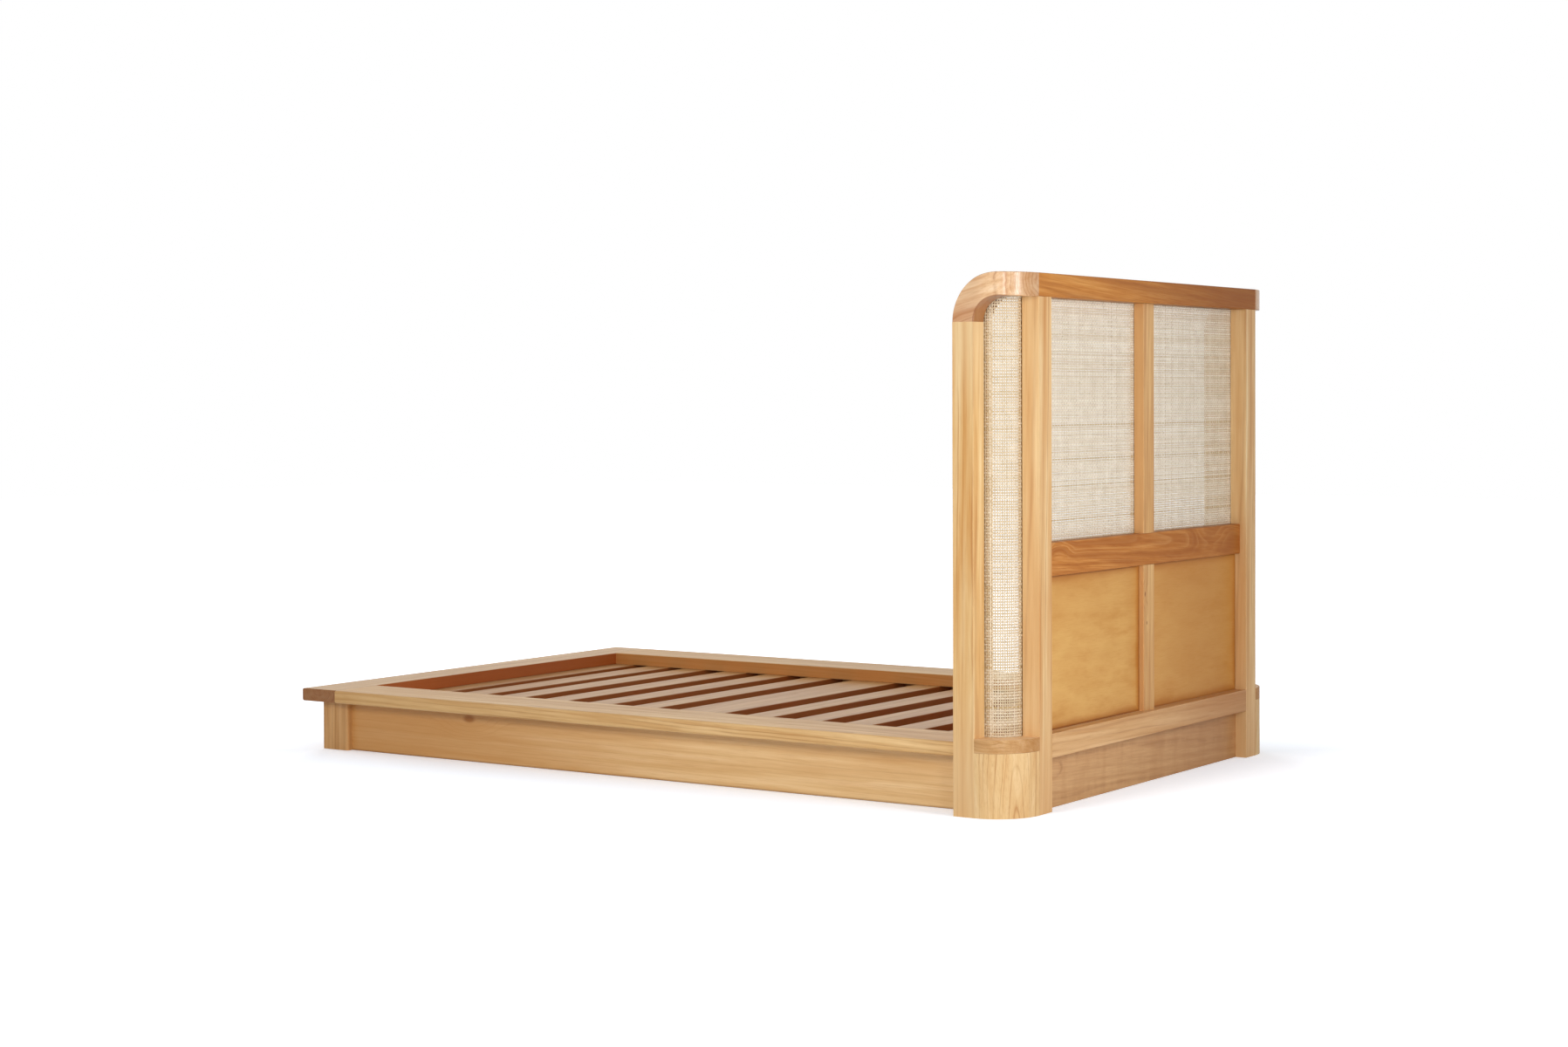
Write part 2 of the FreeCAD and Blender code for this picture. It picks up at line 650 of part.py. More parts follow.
side_skirt = board("side_skirt_blank", "Y",
                   ("skirt_inner", "skirt_outer", "leg_back", "back_inner", "0", "ledge_bottom"),
                   "joint_ease")
foot_skirt = board("foot_skirt_blank", "X",
                   ("-leg_inner", "leg_inner", "foot_skirt_front", "foot_skirt_back", "0", "ledge_bottom"),
                   "joint_ease")
head_rail = board("head_rail_blank", "X",
                  ("-skirt_inner", "skirt_inner", "head_rail_front", "back_inner", "0", "ledge_bottom"),
                  "joint_ease")
foot_leg = board("foot_leg_blank", "Z",
                 ("leg_inner", "leg_outer", "leg_front", "leg_back", "0", "ledge_bottom"), "stile_ease")
slat_ledger = board("slat_ledger_blank", "Y",
                    ("ledger_inner", "skirt_inner", "leg_back", "head_rail_front",
                     "ledger_bottom", "slat_bottom"), "joint_ease")
centre_beam = board("centre_beam_blank", "Y",
                    ("-beam_width / 2", "beam_width / 2", "foot_skirt_back", "head_rail_front",
                     "beam_bottom", "slat_bottom"), "joint_ease")

slat_rows = [(name + "_low", name + "_high") for name in slat_names]
slat_names.append("head_slat")
slat_rows.append(("head_rail_front - head_slat_width", "head_rail_front"))
screw_x = "skirt_inner - ledger_width / 2"
slats = {}
for label, (low, high) in zip(slat_names, slat_rows):
    slats[label] = board(label + "_blank", "X",
                         ("-slat_end", "slat_end", low, high, "slat_bottom", "ledge_bottom"), "slat_ease")
    is_wide = value(high) - value(low) > value("slat_width")
    for share in wide_pair_shares if is_wide else middle_share:
        screw("slat_screws", (screw_x, between(low, high, share), "ledge_bottom"), "-Z",
              [label, "slat_ledger"])

platform_joints = [
    ((None, "foot_inner", "ledge_bottom + ledge_thickness / 2"), ("ledge_inner", "ledge_outer"), "+Y",
     pair_shares, ["foot_ledge", "side_ledge"]),
    ((None, "wing_front", "ledge_bottom + ledge_thickness / 2"), ("wing_inner", "ledge_outer"), "+Y",
     middle_share, ["side_ledge", "wing_stile"]),
    (("skirt_centre", None, "ledge_bottom"), ("leg_back", "back_inner"), "+Z",
     ledge_dowel_shares, ["side_ledge", "side_skirt"]),
    ((None, "leg_front + leg_width / 3", "ledge_bottom"), ("leg_inner", "leg_outer"), "+Z",
     pair_shares, ["foot_ledge", "foot_leg"]),
    (("leg_inner", "foot_skirt_front + skirt_thickness / 2", None), ("0", "ledge_bottom"), "+X",
     pair_shares, ["foot_skirt", "foot_leg"]),
    (("skirt_centre", "leg_back", None), ("0", "ledge_bottom"), "+Y",
     wide_pair_shares, ["side_skirt", "foot_leg"]),
    (("skirt_inner", "head_rail_front + skirt_thickness / 2", None), ("0", "ledger_bottom"), "+X",
     pair_shares, ["head_rail", "side_skirt"]),
    (("beam_width / 4", "foot_skirt_back", None), ("beam_bottom", "slat_bottom"), "+Y",
     middle_share, ["foot_skirt", "centre_beam"]),
    (("beam_width / 4", "head_rail_front", None), ("beam_bottom", "slat_bottom"), "+Y",
     middle_share, ["head_rail", "centre_beam"]),
]
for spot, spread, way, shares, labels in platform_joints:
    for share in shares:
        place = between(spread[0], spread[1], share)
        dowel("platform_dowels", [place if formula is None else formula for formula in spot], way, labels)
beam_legs = []
for share in beam_leg_shares:
    middle = between("foot_skirt_back", "head_rail_front", share)
    name = "beam_leg_%d" % (len(beam_legs) + 1)
    beam_legs.append(board(name, "Z", ("-beam_width / 2", "beam_width / 2", middle + " - beam_width / 2",
                                       middle + " + beam_width / 2", "0", "beam_bottom"), "joint_ease"))
    dowel("platform_dowels", ("beam_width / 4", middle, "beam_bottom"), "+Z", ["centre_beam", "centre_legs"])

for share in ledger_screw_shares:
    place = between("leg_back", "head_rail_front", share)
    screw("ledger_screws", ("ledger_inner", place, "ledger_bottom + ledger_height / 3"), "+X",
          ["slat_ledger", "side_skirt"])

# Bed bolts: skirts to the wing stiles, head rail to the back stiles, foot legs to the skirts

stile_middle = "(wing_front + corner_y) / 2"
for share in bolt_height_shares:
    height = "ledger_bottom * %s" % share
    spot = ("skirt_inner", stile_middle, height)
    bolt_hole(spot, "+X", "skirt_thickness", ["side_skirt"])
    insert(("wing_inner", stile_middle, height), "+X", "wing_stile")
    bolt(spot, "+X", "bolt_length")
    spot = ("(bay_x + corner_x) / 2", "head_rail_front", height)
    bolt_hole(spot, "+Y", "skirt_thickness", ["head_rail"])
    insert((spot[0], "back_inner", height), "+Y", "back_stile")
    bolt(spot, "+Y", "bolt_length")

bolt_middle = "ledge_bottom / 2"
foot_spot = ("skirt_centre", "leg_front + foot_bolt_sink", bolt_middle)
counterbore = rod("foot_bolt_counterbore", ("skirt_centre", "leg_front - overrun", bolt_middle), "+Y",
                  "bolt_head_diameter / 2 + bolt_play", "foot_bolt_sink + overrun")
cut_into(["foot_leg"], counterbore)
bolt_hole(foot_spot, "+Y", "foot_bolt_length + bolt_play", ["foot_leg", "side_skirt"])
bolt(foot_spot, "+Y", "foot_bolt_length")
nut_y = "leg_back + barrel_setback"
nut_spot = ("skirt_inner", nut_y, bolt_middle)
barrel = rod("barrel_body", nut_spot, "+X", "barrel_diameter / 2", "barrel_length")
thread = rod("barrel_thread", ("skirt_centre", nut_y + " - barrel_diameter", bolt_middle), "+Y",
             "bolt_radius + bolt_play", "2 * barrel_diameter")
add_to("barrel_nuts", less("barrel_nut", barrel, thread))
cut_into(["side_skirt"], rod("barrel_seat", nut_spot, "+X", "barrel_diameter / 2 + bolt_play",
                             "barrel_length + bolt_play"))
doc.recompute()

# Every piece with its cuts

keep_pair("wing_stile", wing_stile)
keep_pair("back_stile", back_stile)
keep_pair("base_block", base_block)
keep_pair("base_cap", base_cap)
keep_pair("top_corner", top_corner_eased)
keep_middle("top_rail", top_rail)
keep_middle("mid_rail", mid_rail)
keep_middle("bottom_rail", bottom_rail)
keep_middle("upper_mullion", upper_mullion)
keep_middle("lower_mullion", lower_mullion)
keep_middle("back_skirt", back_skirt)
keep_pair("side_ledge", side_ledge)
keep_middle("foot_ledge", foot_ledge)
keep_pair("side_skirt", side_skirt)
keep_middle("foot_skirt", foot_skirt)
keep_middle("head_rail", head_rail)
keep_pair("foot_leg", foot_leg)
keep_pair("slat_ledger", slat_ledger)
keep_middle("centre_beam", centre_beam)
keep_middle("centre_legs", joined("beam_legs", beam_legs))
for label in slat_names:
    keep_middle(label, slats[label])
for label in ("frame_dowels", "platform_dowels", "bed_bolts", "threaded_inserts", "barrel_nuts",
              "slat_screws", "ledger_screws"):
    keep_group(label)
doc.recompute()

# Nothing is written unless every object came out sound

for item in doc.Objects:
    if "Invalid" in item.State or "Error" in item.State:
        raise RuntimeError("%s did not recompute: %s" % (item.Label, item.State))
for item in pieces:
    if item.Shape.isNull() or not item.Shape.isValid() or not item.Shape.Solids:
        raise RuntimeError("%s has no sound solid" % item.Label)

os.makedirs("parts", exist_ok=True)
for item in pieces:
    item.Shape.exportStep(os.path.join("parts", item.Label + ".step"))
print("%d pieces, %d solids" % (len(pieces), sum(len(item.Shape.Solids) for item in pieces)))
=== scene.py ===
import bpy
import math
import random
import numpy as np
from mathutils import Euler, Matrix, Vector, noise


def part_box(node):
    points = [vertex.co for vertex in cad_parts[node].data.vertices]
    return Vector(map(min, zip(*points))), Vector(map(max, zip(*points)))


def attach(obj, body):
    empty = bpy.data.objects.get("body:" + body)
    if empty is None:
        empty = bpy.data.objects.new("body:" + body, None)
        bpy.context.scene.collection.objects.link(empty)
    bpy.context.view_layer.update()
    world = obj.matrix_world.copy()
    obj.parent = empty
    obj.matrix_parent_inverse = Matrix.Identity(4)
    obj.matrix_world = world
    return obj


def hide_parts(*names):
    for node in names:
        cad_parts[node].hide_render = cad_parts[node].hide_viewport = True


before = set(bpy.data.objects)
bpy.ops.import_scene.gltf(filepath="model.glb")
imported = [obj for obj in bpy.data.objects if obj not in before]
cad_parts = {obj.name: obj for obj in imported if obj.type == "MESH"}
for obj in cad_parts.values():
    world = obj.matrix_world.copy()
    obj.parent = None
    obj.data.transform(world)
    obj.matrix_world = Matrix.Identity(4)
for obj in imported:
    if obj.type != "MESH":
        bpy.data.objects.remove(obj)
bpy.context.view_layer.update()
scene = bpy.context.scene
scene.view_settings.view_transform = "Standard"
mm = 0.001  # sizes below are in millimetres, Blender's are in metres
noiseLow, noiseHigh = 0.3, 0.7  # nearly all of a noise lies between these
bpy.ops.object.select_all(action="DESELECT")
print("frame loaded,", len(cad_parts), "CAD pieces")


def linear(hexColour):
    # sRGB hex to the linear colour a socket takes
    parts = [int(hexColour[i:i + 2], 16) / 255 for i in (1, 3, 5)]
    return [p / 12.92 if p <= 0.04045 else ((p + 0.055) / 1.055) ** 2.4 for p in parts] + [1.0]


def addNode(tree, kind, settings=None, values=None, links=None, stops=()):
    # a node, its settings, what its sockets hold, what feeds them, and a ramp's colours
    node = tree.nodes.new(kind)
    for name, value in (settings or {}).items():
        setattr(node, name, value)
    for socket, value in (values or {}).items():
        node.inputs[socket].default_value = value
    for socket, source in (links or {}).items():
        tree.links.new(source, node.inputs[socket])
    for i, (position, colour) in enumerate(stops):
        ramp = node.color_ramp.elements
        stop = ramp[i] if i < len(ramp) else ramp.new(position)
        stop.position = position
        stop.color = colour
    return node


def grey(level):
    return [level, level, level, 1.0]


def blankMaterial(name):
    material = bpy.data.materials.new(name)
    material.use_nodes = True
    material.node_tree.nodes.clear()
    return material, material.node_tree


def giveMaterial(nodeName, material):
    # a CAD piece keeps its mesh and only changes its material
    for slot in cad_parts[nodeName].material_slots:
        slot.material = material


# Camera where the photograph was taken from, with its lens shift
photoCamera = {
    "image": (1797, 1200), "focalPixels": 2898.6, "centrePixels": (1181.4, 502.3), "sensorMm": 36,
    "placeMm": (5061.4, 3769.2, 883.7), "yaw": 1.0285, "pitch": -0.0172, "roll": -0.0018,
}
bpy.ops.object.camera_add(location=Vector(photoCamera["placeMm"]) * mm)
camera = bpy.context.object
camera.name = "photoCamera"
camera.rotation_euler = (math.pi / 2 + photoCamera["pitch"], 0, math.pi - photoCamera["yaw"])
camera.rotation_euler.rotate_axis("Z", photoCamera["roll"])
imageWide, imageHigh = photoCamera["image"]
camera.data.sensor_width = photoCamera["sensorMm"]
camera.data.lens = photoCamera["sensorMm"] * photoCamera["focalPixels"] / imageWide
camera.data.shift_x = (imageWide / 2 - photoCamera["centrePixels"][0]) / imageWide
camera.data.shift_y = (photoCamera["centrePixels"][1] - imageHigh / 2) / imageWide
scene.camera = camera
print("camera placed")

# Studio: white surroundings, a pale floor that keeps a faint shadow, and five soft lamps
studio = {
    "surroundings": "#FFFFFF", "softLevel": 0.37,
    "floor": "#EFF3F8", "floorWideMm": 30000, "floorDropMm": 0.2, "liftTint": "#F2F7FF",
    "lift": ((0.0, 0.12), (0.38, 0.41), (1.0, 0.85)), "liftMm": (-300, 520), "outlineMm": (600, 1050),
    "lampCornerMm": (600, 990), "lampAimMm": (560, 900, 620),
}
# turn is the bearing from the near headboard corner, 0 along +X and 90 along +Y
lamps = {
    "frontKey": {"turn": -10, "awayMm": 2700, "highMm": 1200, "wideMm": 700, "tallMm": 600, "watts": 33,
                 "inGloss": False},
    "nearStrip": {"turn": 46, "awayMm": 3200, "highMm": 1300, "wideMm": 230, "tallMm": 900, "watts": 10.5,
                  "inGloss": True},
    "backStrip": {"turn": 81, "awayMm": 2000, "highMm": 900, "wideMm": 420, "tallMm": 1500, "watts": 26,
                  "inGloss": True},
    "farFill": {"turn": 226, "awayMm": 6200, "highMm": 2600, "wideMm": 2200, "tallMm": 1600, "watts": 80,
                "inGloss": False},
    "footFill": {"turn": 264, "awayMm": 6500, "highMm": 1300, "wideMm": 2200, "tallMm": 1400, "watts": 75,
                 "inGloss": False},
}
world = bpy.data.worlds.new("whiteStudio")
world.use_nodes = True
scene.world = world
tree = world.node_tree
tree.nodes.clear()
# white where it is seen, mirrored or seen through, softer as a light
path = addNode(tree, "ShaderNodeLightPath")
seen = addNode(tree, "ShaderNodeMath", {"operation": "ADD"},
               links={0: path.outputs["Is Camera Ray"], 1: path.outputs["Is Glossy Ray"]})
seen = addNode(tree, "ShaderNodeMath", {"operation": "ADD", "use_clamp": True},
               links={0: seen.outputs[0], 1: path.outputs["Is Transmission Ray"]})
level = addNode(tree, "ShaderNodeMapRange", values={"To Min": studio["softLevel"], "To Max": 1.0},
                links={"Value": seen.outputs[0]})
sky = addNode(tree, "ShaderNodeBackground", values={"Color": linear(studio["surroundings"])},
              links={"Strength": level.outputs[0]})
addNode(tree, "ShaderNodeOutputWorld", links={"Surface": sky.outputs[0]})

bpy.ops.mesh.primitive_plane_add(size=studio["floorWideMm"] * mm,
                                 location=(0, 0, -studio["floorDropMm"] * mm))
floor = bpy.context.object
floor.name = "studioFloor"
material, tree = blankMaterial("white painted floor")
path = addNode(tree, "ShaderNodeLightPath")
paint = addNode(tree, "ShaderNodeBsdfDiffuse", values={"Color": linear(studio["floor"])})
coords = addNode(tree, "ShaderNodeTexCoord")
# the lift grows away from the bed's outline, so that the shadow shows and the far floor meets the white
away = addNode(tree, "ShaderNodeVectorMath", {"operation": "ABSOLUTE"}, links={0: coords.outputs["Object"]})
away = addNode(tree, "ShaderNodeVectorMath", {"operation": "SUBTRACT"},
               {1: [size * mm for size in studio["outlineMm"]] + [0]}, {0: away.outputs[0]})
away = addNode(tree, "ShaderNodeSeparateXYZ", links={0: away.outputs[0]})
away = addNode(tree, "ShaderNodeMath", {"operation": "MAXIMUM"},
               links={0: away.outputs[0], 1: away.outputs[1]})
away = addNode(tree, "ShaderNodeMapRange",
               values={"From Min": studio["liftMm"][0] * mm, "From Max": studio["liftMm"][1] * mm},
               links={"Value": away.outputs[0]})
lift = addNode(tree, "ShaderNodeValToRGB", links={"Fac": away.outputs[0]},
               stops=[(at, grey(share)) for at, share in studio["lift"]])
lift = addNode(tree, "ShaderNodeMath", {"operation": "MULTIPLY"},
               links={0: lift.outputs[0], 1: path.outputs["Is Camera Ray"]})
glow = addNode(tree, "ShaderNodeEmission", values={"Color": linear(studio["liftTint"])},
               links={"Strength": lift.outputs[0]})
both = addNode(tree, "ShaderNodeAddShader", links={0: paint.outputs[0], 1: glow.outputs[0]})
addNode(tree, "ShaderNodeOutputMaterial", links={"Surface": both.outputs[0]})
floor.data.materials.append(material)

cornerX, cornerY = studio["lampCornerMm"]
lampAim = Vector(studio["lampAimMm"]) * mm
for name, lamp in lamps.items():
    turn = math.radians(lamp["turn"])
    place = Vector((cornerX + lamp["awayMm"] * math.cos(turn), cornerY + lamp["awayMm"] * math.sin(turn),
                    lamp["highMm"])) * mm
    bpy.ops.object.light_add(type="AREA", location=place)
    light = bpy.context.object
    light.name = name
    light.rotation_euler = (lampAim - place).to_track_quat("-Z", "Y").to_euler()
    light.data.shape = "RECTANGLE"
    light.data.size = lamp["wideMm"] * mm
    light.data.size_y = lamp["tallMm"] * mm
    light.data.energy = lamp["watts"]
    light.visible_camera = False
    light.visible_glossy = lamp["inGloss"]
print("studio lit")

# Planed hardwood, honey stain under a satin lacquer: a soft sheen that turns pale at low angles.
# This is what a board has where its own dictionary says nothing else.
plainBoard = {
    "strayMm": 12, "lean": (0.5, 0.5),  # how far the pith strays, and its slope in degrees
    "swayMm": (5, 60, 420),  # how far the rings wander, over what width and length
    "yearRings": 2.7, "yearSwing": 3.2,  # rings in a run of wide or narrow years, and its shift
    "streakMm": (15, 480), "streakStops": (0.28, 0.5, 0.76),  # soft streaks, pale to deep honey
    "ringShow": 0.5, "lineFrom": 0.68, "lineFull": 0.92, "lineTail": (0.08, 0.2),  # late wood in each ring
    "fadeFrom": (0.36, 0.6), "fadeLeast": 0.15,  # its lines come and go with the clouds
    "bandShow": 0.4, "bandFrom": (0.42, 0.7), "bandPerRing": 0.55,
    "cloudShow": 0.4, "cloudFrom": (0.45, 0.7), "cloudMm": (40, 300),
    # real pores are 0.2 mm wide, drawn near 2 mm so that they show at this distance
    "poreShow": 0.35, "poreFrom": (0.52, 0.76), "poreMm": (2.0, 70),
    "knots": (), "knotReach": 6.0, "knotRings": 3.0, "knotShow": 0.8,  # each knot: its place and its size
    # shade: colour laid towards one end of a board, on some boards a painted shade where the light falls off
    "shade": (),  # axis, where it starts and ends, colour, strength
    # the second list holds painted light and shade on faces that lie across an axis
    "end": "#A8713A", "endShow": 0.5, "paintedLightAndShade": (),  # axis, both faces or the inner one, colour, strength
    "squareOn": (0.7, 0.95),  # how squarely a face lies across the axis before the end's stain and the painted light and shade reach it
    "roughness": (0.36, 0.48), "ior": 1.46, "gloss": 0.38, "coat": 0.08, "coatRoughness": 0.22,
    "reliefMm": 0.25, "reliefStrength": 0.2, "lineSink": 0.25,
}
grainTurns = {"X": Euler((0, -math.pi / 2, 0)), "Y": Euler((math.pi / 2, 0, 0)), "Z": Euler((0, 0, 0))}
grainAxes = {"X": (1, 0, 0), "Y": (0, 1, 0), "Z": (0, 0, 1)}


def grainPattern(tree, along, sizeMm, detail, roughness=0.5):
    # patches drawn out along the grain, as wide and as long as sizeMm says
    wideMm, longMm = sizeMm
    stretch = addNode(tree, "ShaderNodeMapping",
                      values={"Scale": [1 / (size * mm) for size in (wideMm, wideMm, longMm)]},
                      links={"Vector": along})
    return addNode(tree, "ShaderNodeTexNoise",
                   values={"Scale": 1.0, "Detail": detail, "Roughness": roughness},
                   links={"Vector": stretch.outputs[0]})


def growthRings(tree, board, place, along):
    # counts the rings outwards from the pith, which wander slowly along the board
    swayMm, swayWide, swayLong = board["swayMm"]
    sway = grainPattern(tree, along, (swayWide, swayLong), 2.0)
    bent = addNode(tree, "ShaderNodeVectorMath", {"operation": "MULTIPLY_ADD"},
                   {1: (2 * swayMm * mm, 2 * swayMm * mm, 0)}, {0: sway.outputs["Color"], 2: along})
    bent = addNode(tree, "ShaderNodeVectorMath", {"operation": "MULTIPLY"}, {1: (1, 1, 0)},
                   {0: bent.outputs[0]})
    radius = addNode(tree, "ShaderNodeVectorMath", {"operation": "LENGTH"},
                     links={0: bent.outputs[0]}).outputs["Value"]
    # wide years and narrow years
    years = addNode(tree, "ShaderNodeTexNoise", {"noise_dimensions": "1D"},
                    {"Scale": 1 / (board["yearRings"] * board["ringMm"] * mm), "Detail": 1.0}, {"W": radius})
    count = addNode(tree, "ShaderNodeMath", {"operation": "MULTIPLY"}, {1: 1 / (board["ringMm"] * mm)},
                    {0: radius})
    count = addNode(tree, "ShaderNodeMath", {"operation": "MULTIPLY_ADD"}, {1: board["yearSwing"]},
                    {0: years.outputs["Fac"], 2: count.outputs[0]}).outputs[0]
    # knots push the rings round them into ovals, and have a dark heart
    hearts = []
    for knotPlace, knotMm in board["knots"]:
        reach = [1 / (knotMm * mm)] * 3
        reach["XYZ".index(board["grain"])] *= 0.5  # twice as long along the grain
        shift = [-at * r for at, r in zip(Vector(knotPlace) * mm, reach)]
        near = addNode(tree, "ShaderNodeMapping", values={"Scale": reach, "Location": shift},
                       links={"Vector": place})
        near = addNode(tree, "ShaderNodeVectorMath", {"operation": "LENGTH"},
                       links={0: near.outputs[0]}).outputs["Value"]
        swell = addNode(tree, "ShaderNodeMapRange", {"interpolation_type": "SMOOTHERSTEP"},
                        {"From Min": board["knotReach"], "From Max": 0.0, "To Max": board["knotRings"]},
                        {"Value": near}).outputs[0]
        count = addNode(tree, "ShaderNodeMath", links={0: count, 1: swell}).outputs[0]
        heart = addNode(tree, "ShaderNodeMapRange", {"interpolation_type": "SMOOTHSTEP"},
                        {"From Min": 1.0, "From Max": 0.3, "To Max": board["knotShow"]}, {"Value": near})
        hearts.append(heart.outputs[0])
    return count, hearts


def panelRim(tree, rim, place, low, high, clouds):
    # a ragged darker band round a panel along the frame, and a thin painted shadow line where the panel meets
    # the frame
    inner = addNode(tree, "ShaderNodeVectorMath", {"operation": "SUBTRACT"}, {1: (low + high) / 2},
                    {0: place}).outputs[0]
    inner = addNode(tree, "ShaderNodeVectorMath", {"operation": "ABSOLUTE"}, links={0: inner}).outputs[0]
    inner = addNode(tree, "ShaderNodeVectorMath", {"operation": "SUBTRACT"}, {0: (high - low) / 2},
                    {1: inner}).outputs[0]
    inner = addNode(tree, "ShaderNodeSeparateXYZ", links={0: inner})
    inner = addNode(tree, "ShaderNodeMath", {"operation": "MINIMUM"},
                    links={0: inner.outputs[0], 1: inner.outputs[2]}).outputs[0]
    paintedShadowLine = addNode(tree, "ShaderNodeMapRange",
                     values={"From Min": rim["paintedShadowLineMm"][0] * mm, "From Max": rim["paintedShadowLineMm"][1] * mm,
                             "To Min": rim["paintedShadowLineShow"], "To Max": 0.0}, links={"Value": inner}).outputs[0]
    ragged = addNode(tree, "ShaderNodeMath", {"operation": "MULTIPLY_ADD"},
                     {1: -2 * rim["raggedMm"] * mm, 2: rim["raggedMm"] * mm}, {0: clouds}).outputs[0]
    inner = addNode(tree, "ShaderNodeMath", links={0: inner, 1: ragged}).outputs[0]
    stain = addNode(tree, "ShaderNodeMapRange", {"interpolation_type": "SMOOTHSTEP"},
                    {"From Min": rim["stainMm"][0] * mm, "From Max": rim["stainMm"][1] * mm,
                     "To Min": rim["stainShow"], "To Max": 0.0}, {"Value": inner}).outputs[0]
    return [(stain, rim["stain"]), (paintedShadowLine, rim["paintedShadowLine"])]


def paintedSweepShade(tree, hollow, place):
    # painted shade on the inside of the sweep, which faces down: darker than the polished outside
    centreY, centreZ = hollow["centreMm"]
    inside = addNode(tree, "ShaderNodeVectorMath", {"operation": "SUBTRACT"},
                     {1: (0, centreY * mm, centreZ * mm)}, {0: place}).outputs[0]
    inside = addNode(tree, "ShaderNodeVectorMath", {"operation": "MULTIPLY"}, {1: (0, 1, 1)},
                     {0: inside}).outputs[0]
    inside = addNode(tree, "ShaderNodeVectorMath", {"operation": "LENGTH"},
                     links={0: inside}).outputs["Value"]
    inside = addNode(tree, "ShaderNodeMapRange",
                     values={"From Min": (hollow["radiusMm"] + hollow["softMm"]) * mm,
                             "From Max": (hollow["radiusMm"] - hollow["softMm"]) * mm,
                             "To Max": hollow["show"]}, links={"Value": inside}).outputs[0]
    return [(inside, hollow["colour"])]


def stainAndPaintedShade(tree, board, place):
    # colour laid towards one end of some boards; on the back rails, the far panel and the platform's sides it
    # is a painted shade where the light falls off towards the far end
    layers = []
    for axis, startMm, endMm, colour, show in board["shade"]:
        part = addNode(tree, "ShaderNodeSeparateXYZ", links={0: place}).outputs[axis]
        part = addNode(tree, "ShaderNodeMapRange", {"interpolation_type": "SMOOTHSTEP"},
                       {"From Min": startMm * mm, "From Max": endMm * mm, "To Max": show},
                       {"Value": part}).outputs[0]
        layers.append((part, colour))
    return layers


def endStainAndPaintedFaces(tree, board, normal, middle):
    # saw-cut ends drink more stain; faces across a listed axis take painted light and shade: painted shade on
    # the slats' sides and the ledges' inner sides, painted light on the back posts', mullions' and caps'
    # faces
    facesToTint = [(board["grain"], "both", board["end"], board["endShow"])] + list(board["paintedLightAndShade"])
    start, full = board["squareOn"]
    layers = []
    for axis, faces, colour, show in facesToTint:
        facing = addNode(tree, "ShaderNodeVectorMath", {"operation": "DOT_PRODUCT"},
                         {1: grainAxes[axis]}, {0: normal}).outputs["Value"]
        if faces == "inner":
            inward = -math.copysign(1, middle["XYZ".index(axis)])
            facing = addNode(tree, "ShaderNodeMath", {"operation": "MULTIPLY"}, {1: inward},
                             {0: facing}).outputs[0]
        else:
            facing = addNode(tree, "ShaderNodeMath", {"operation": "ABSOLUTE"}, links={0: facing}).outputs[0]
        facing = addNode(tree, "ShaderNodeMapRange",
                         values={"From Min": start, "From Max": full, "To Max": show},
                         links={"Value": facing}).outputs[0]
        layers.append((facing, colour))
    return layers


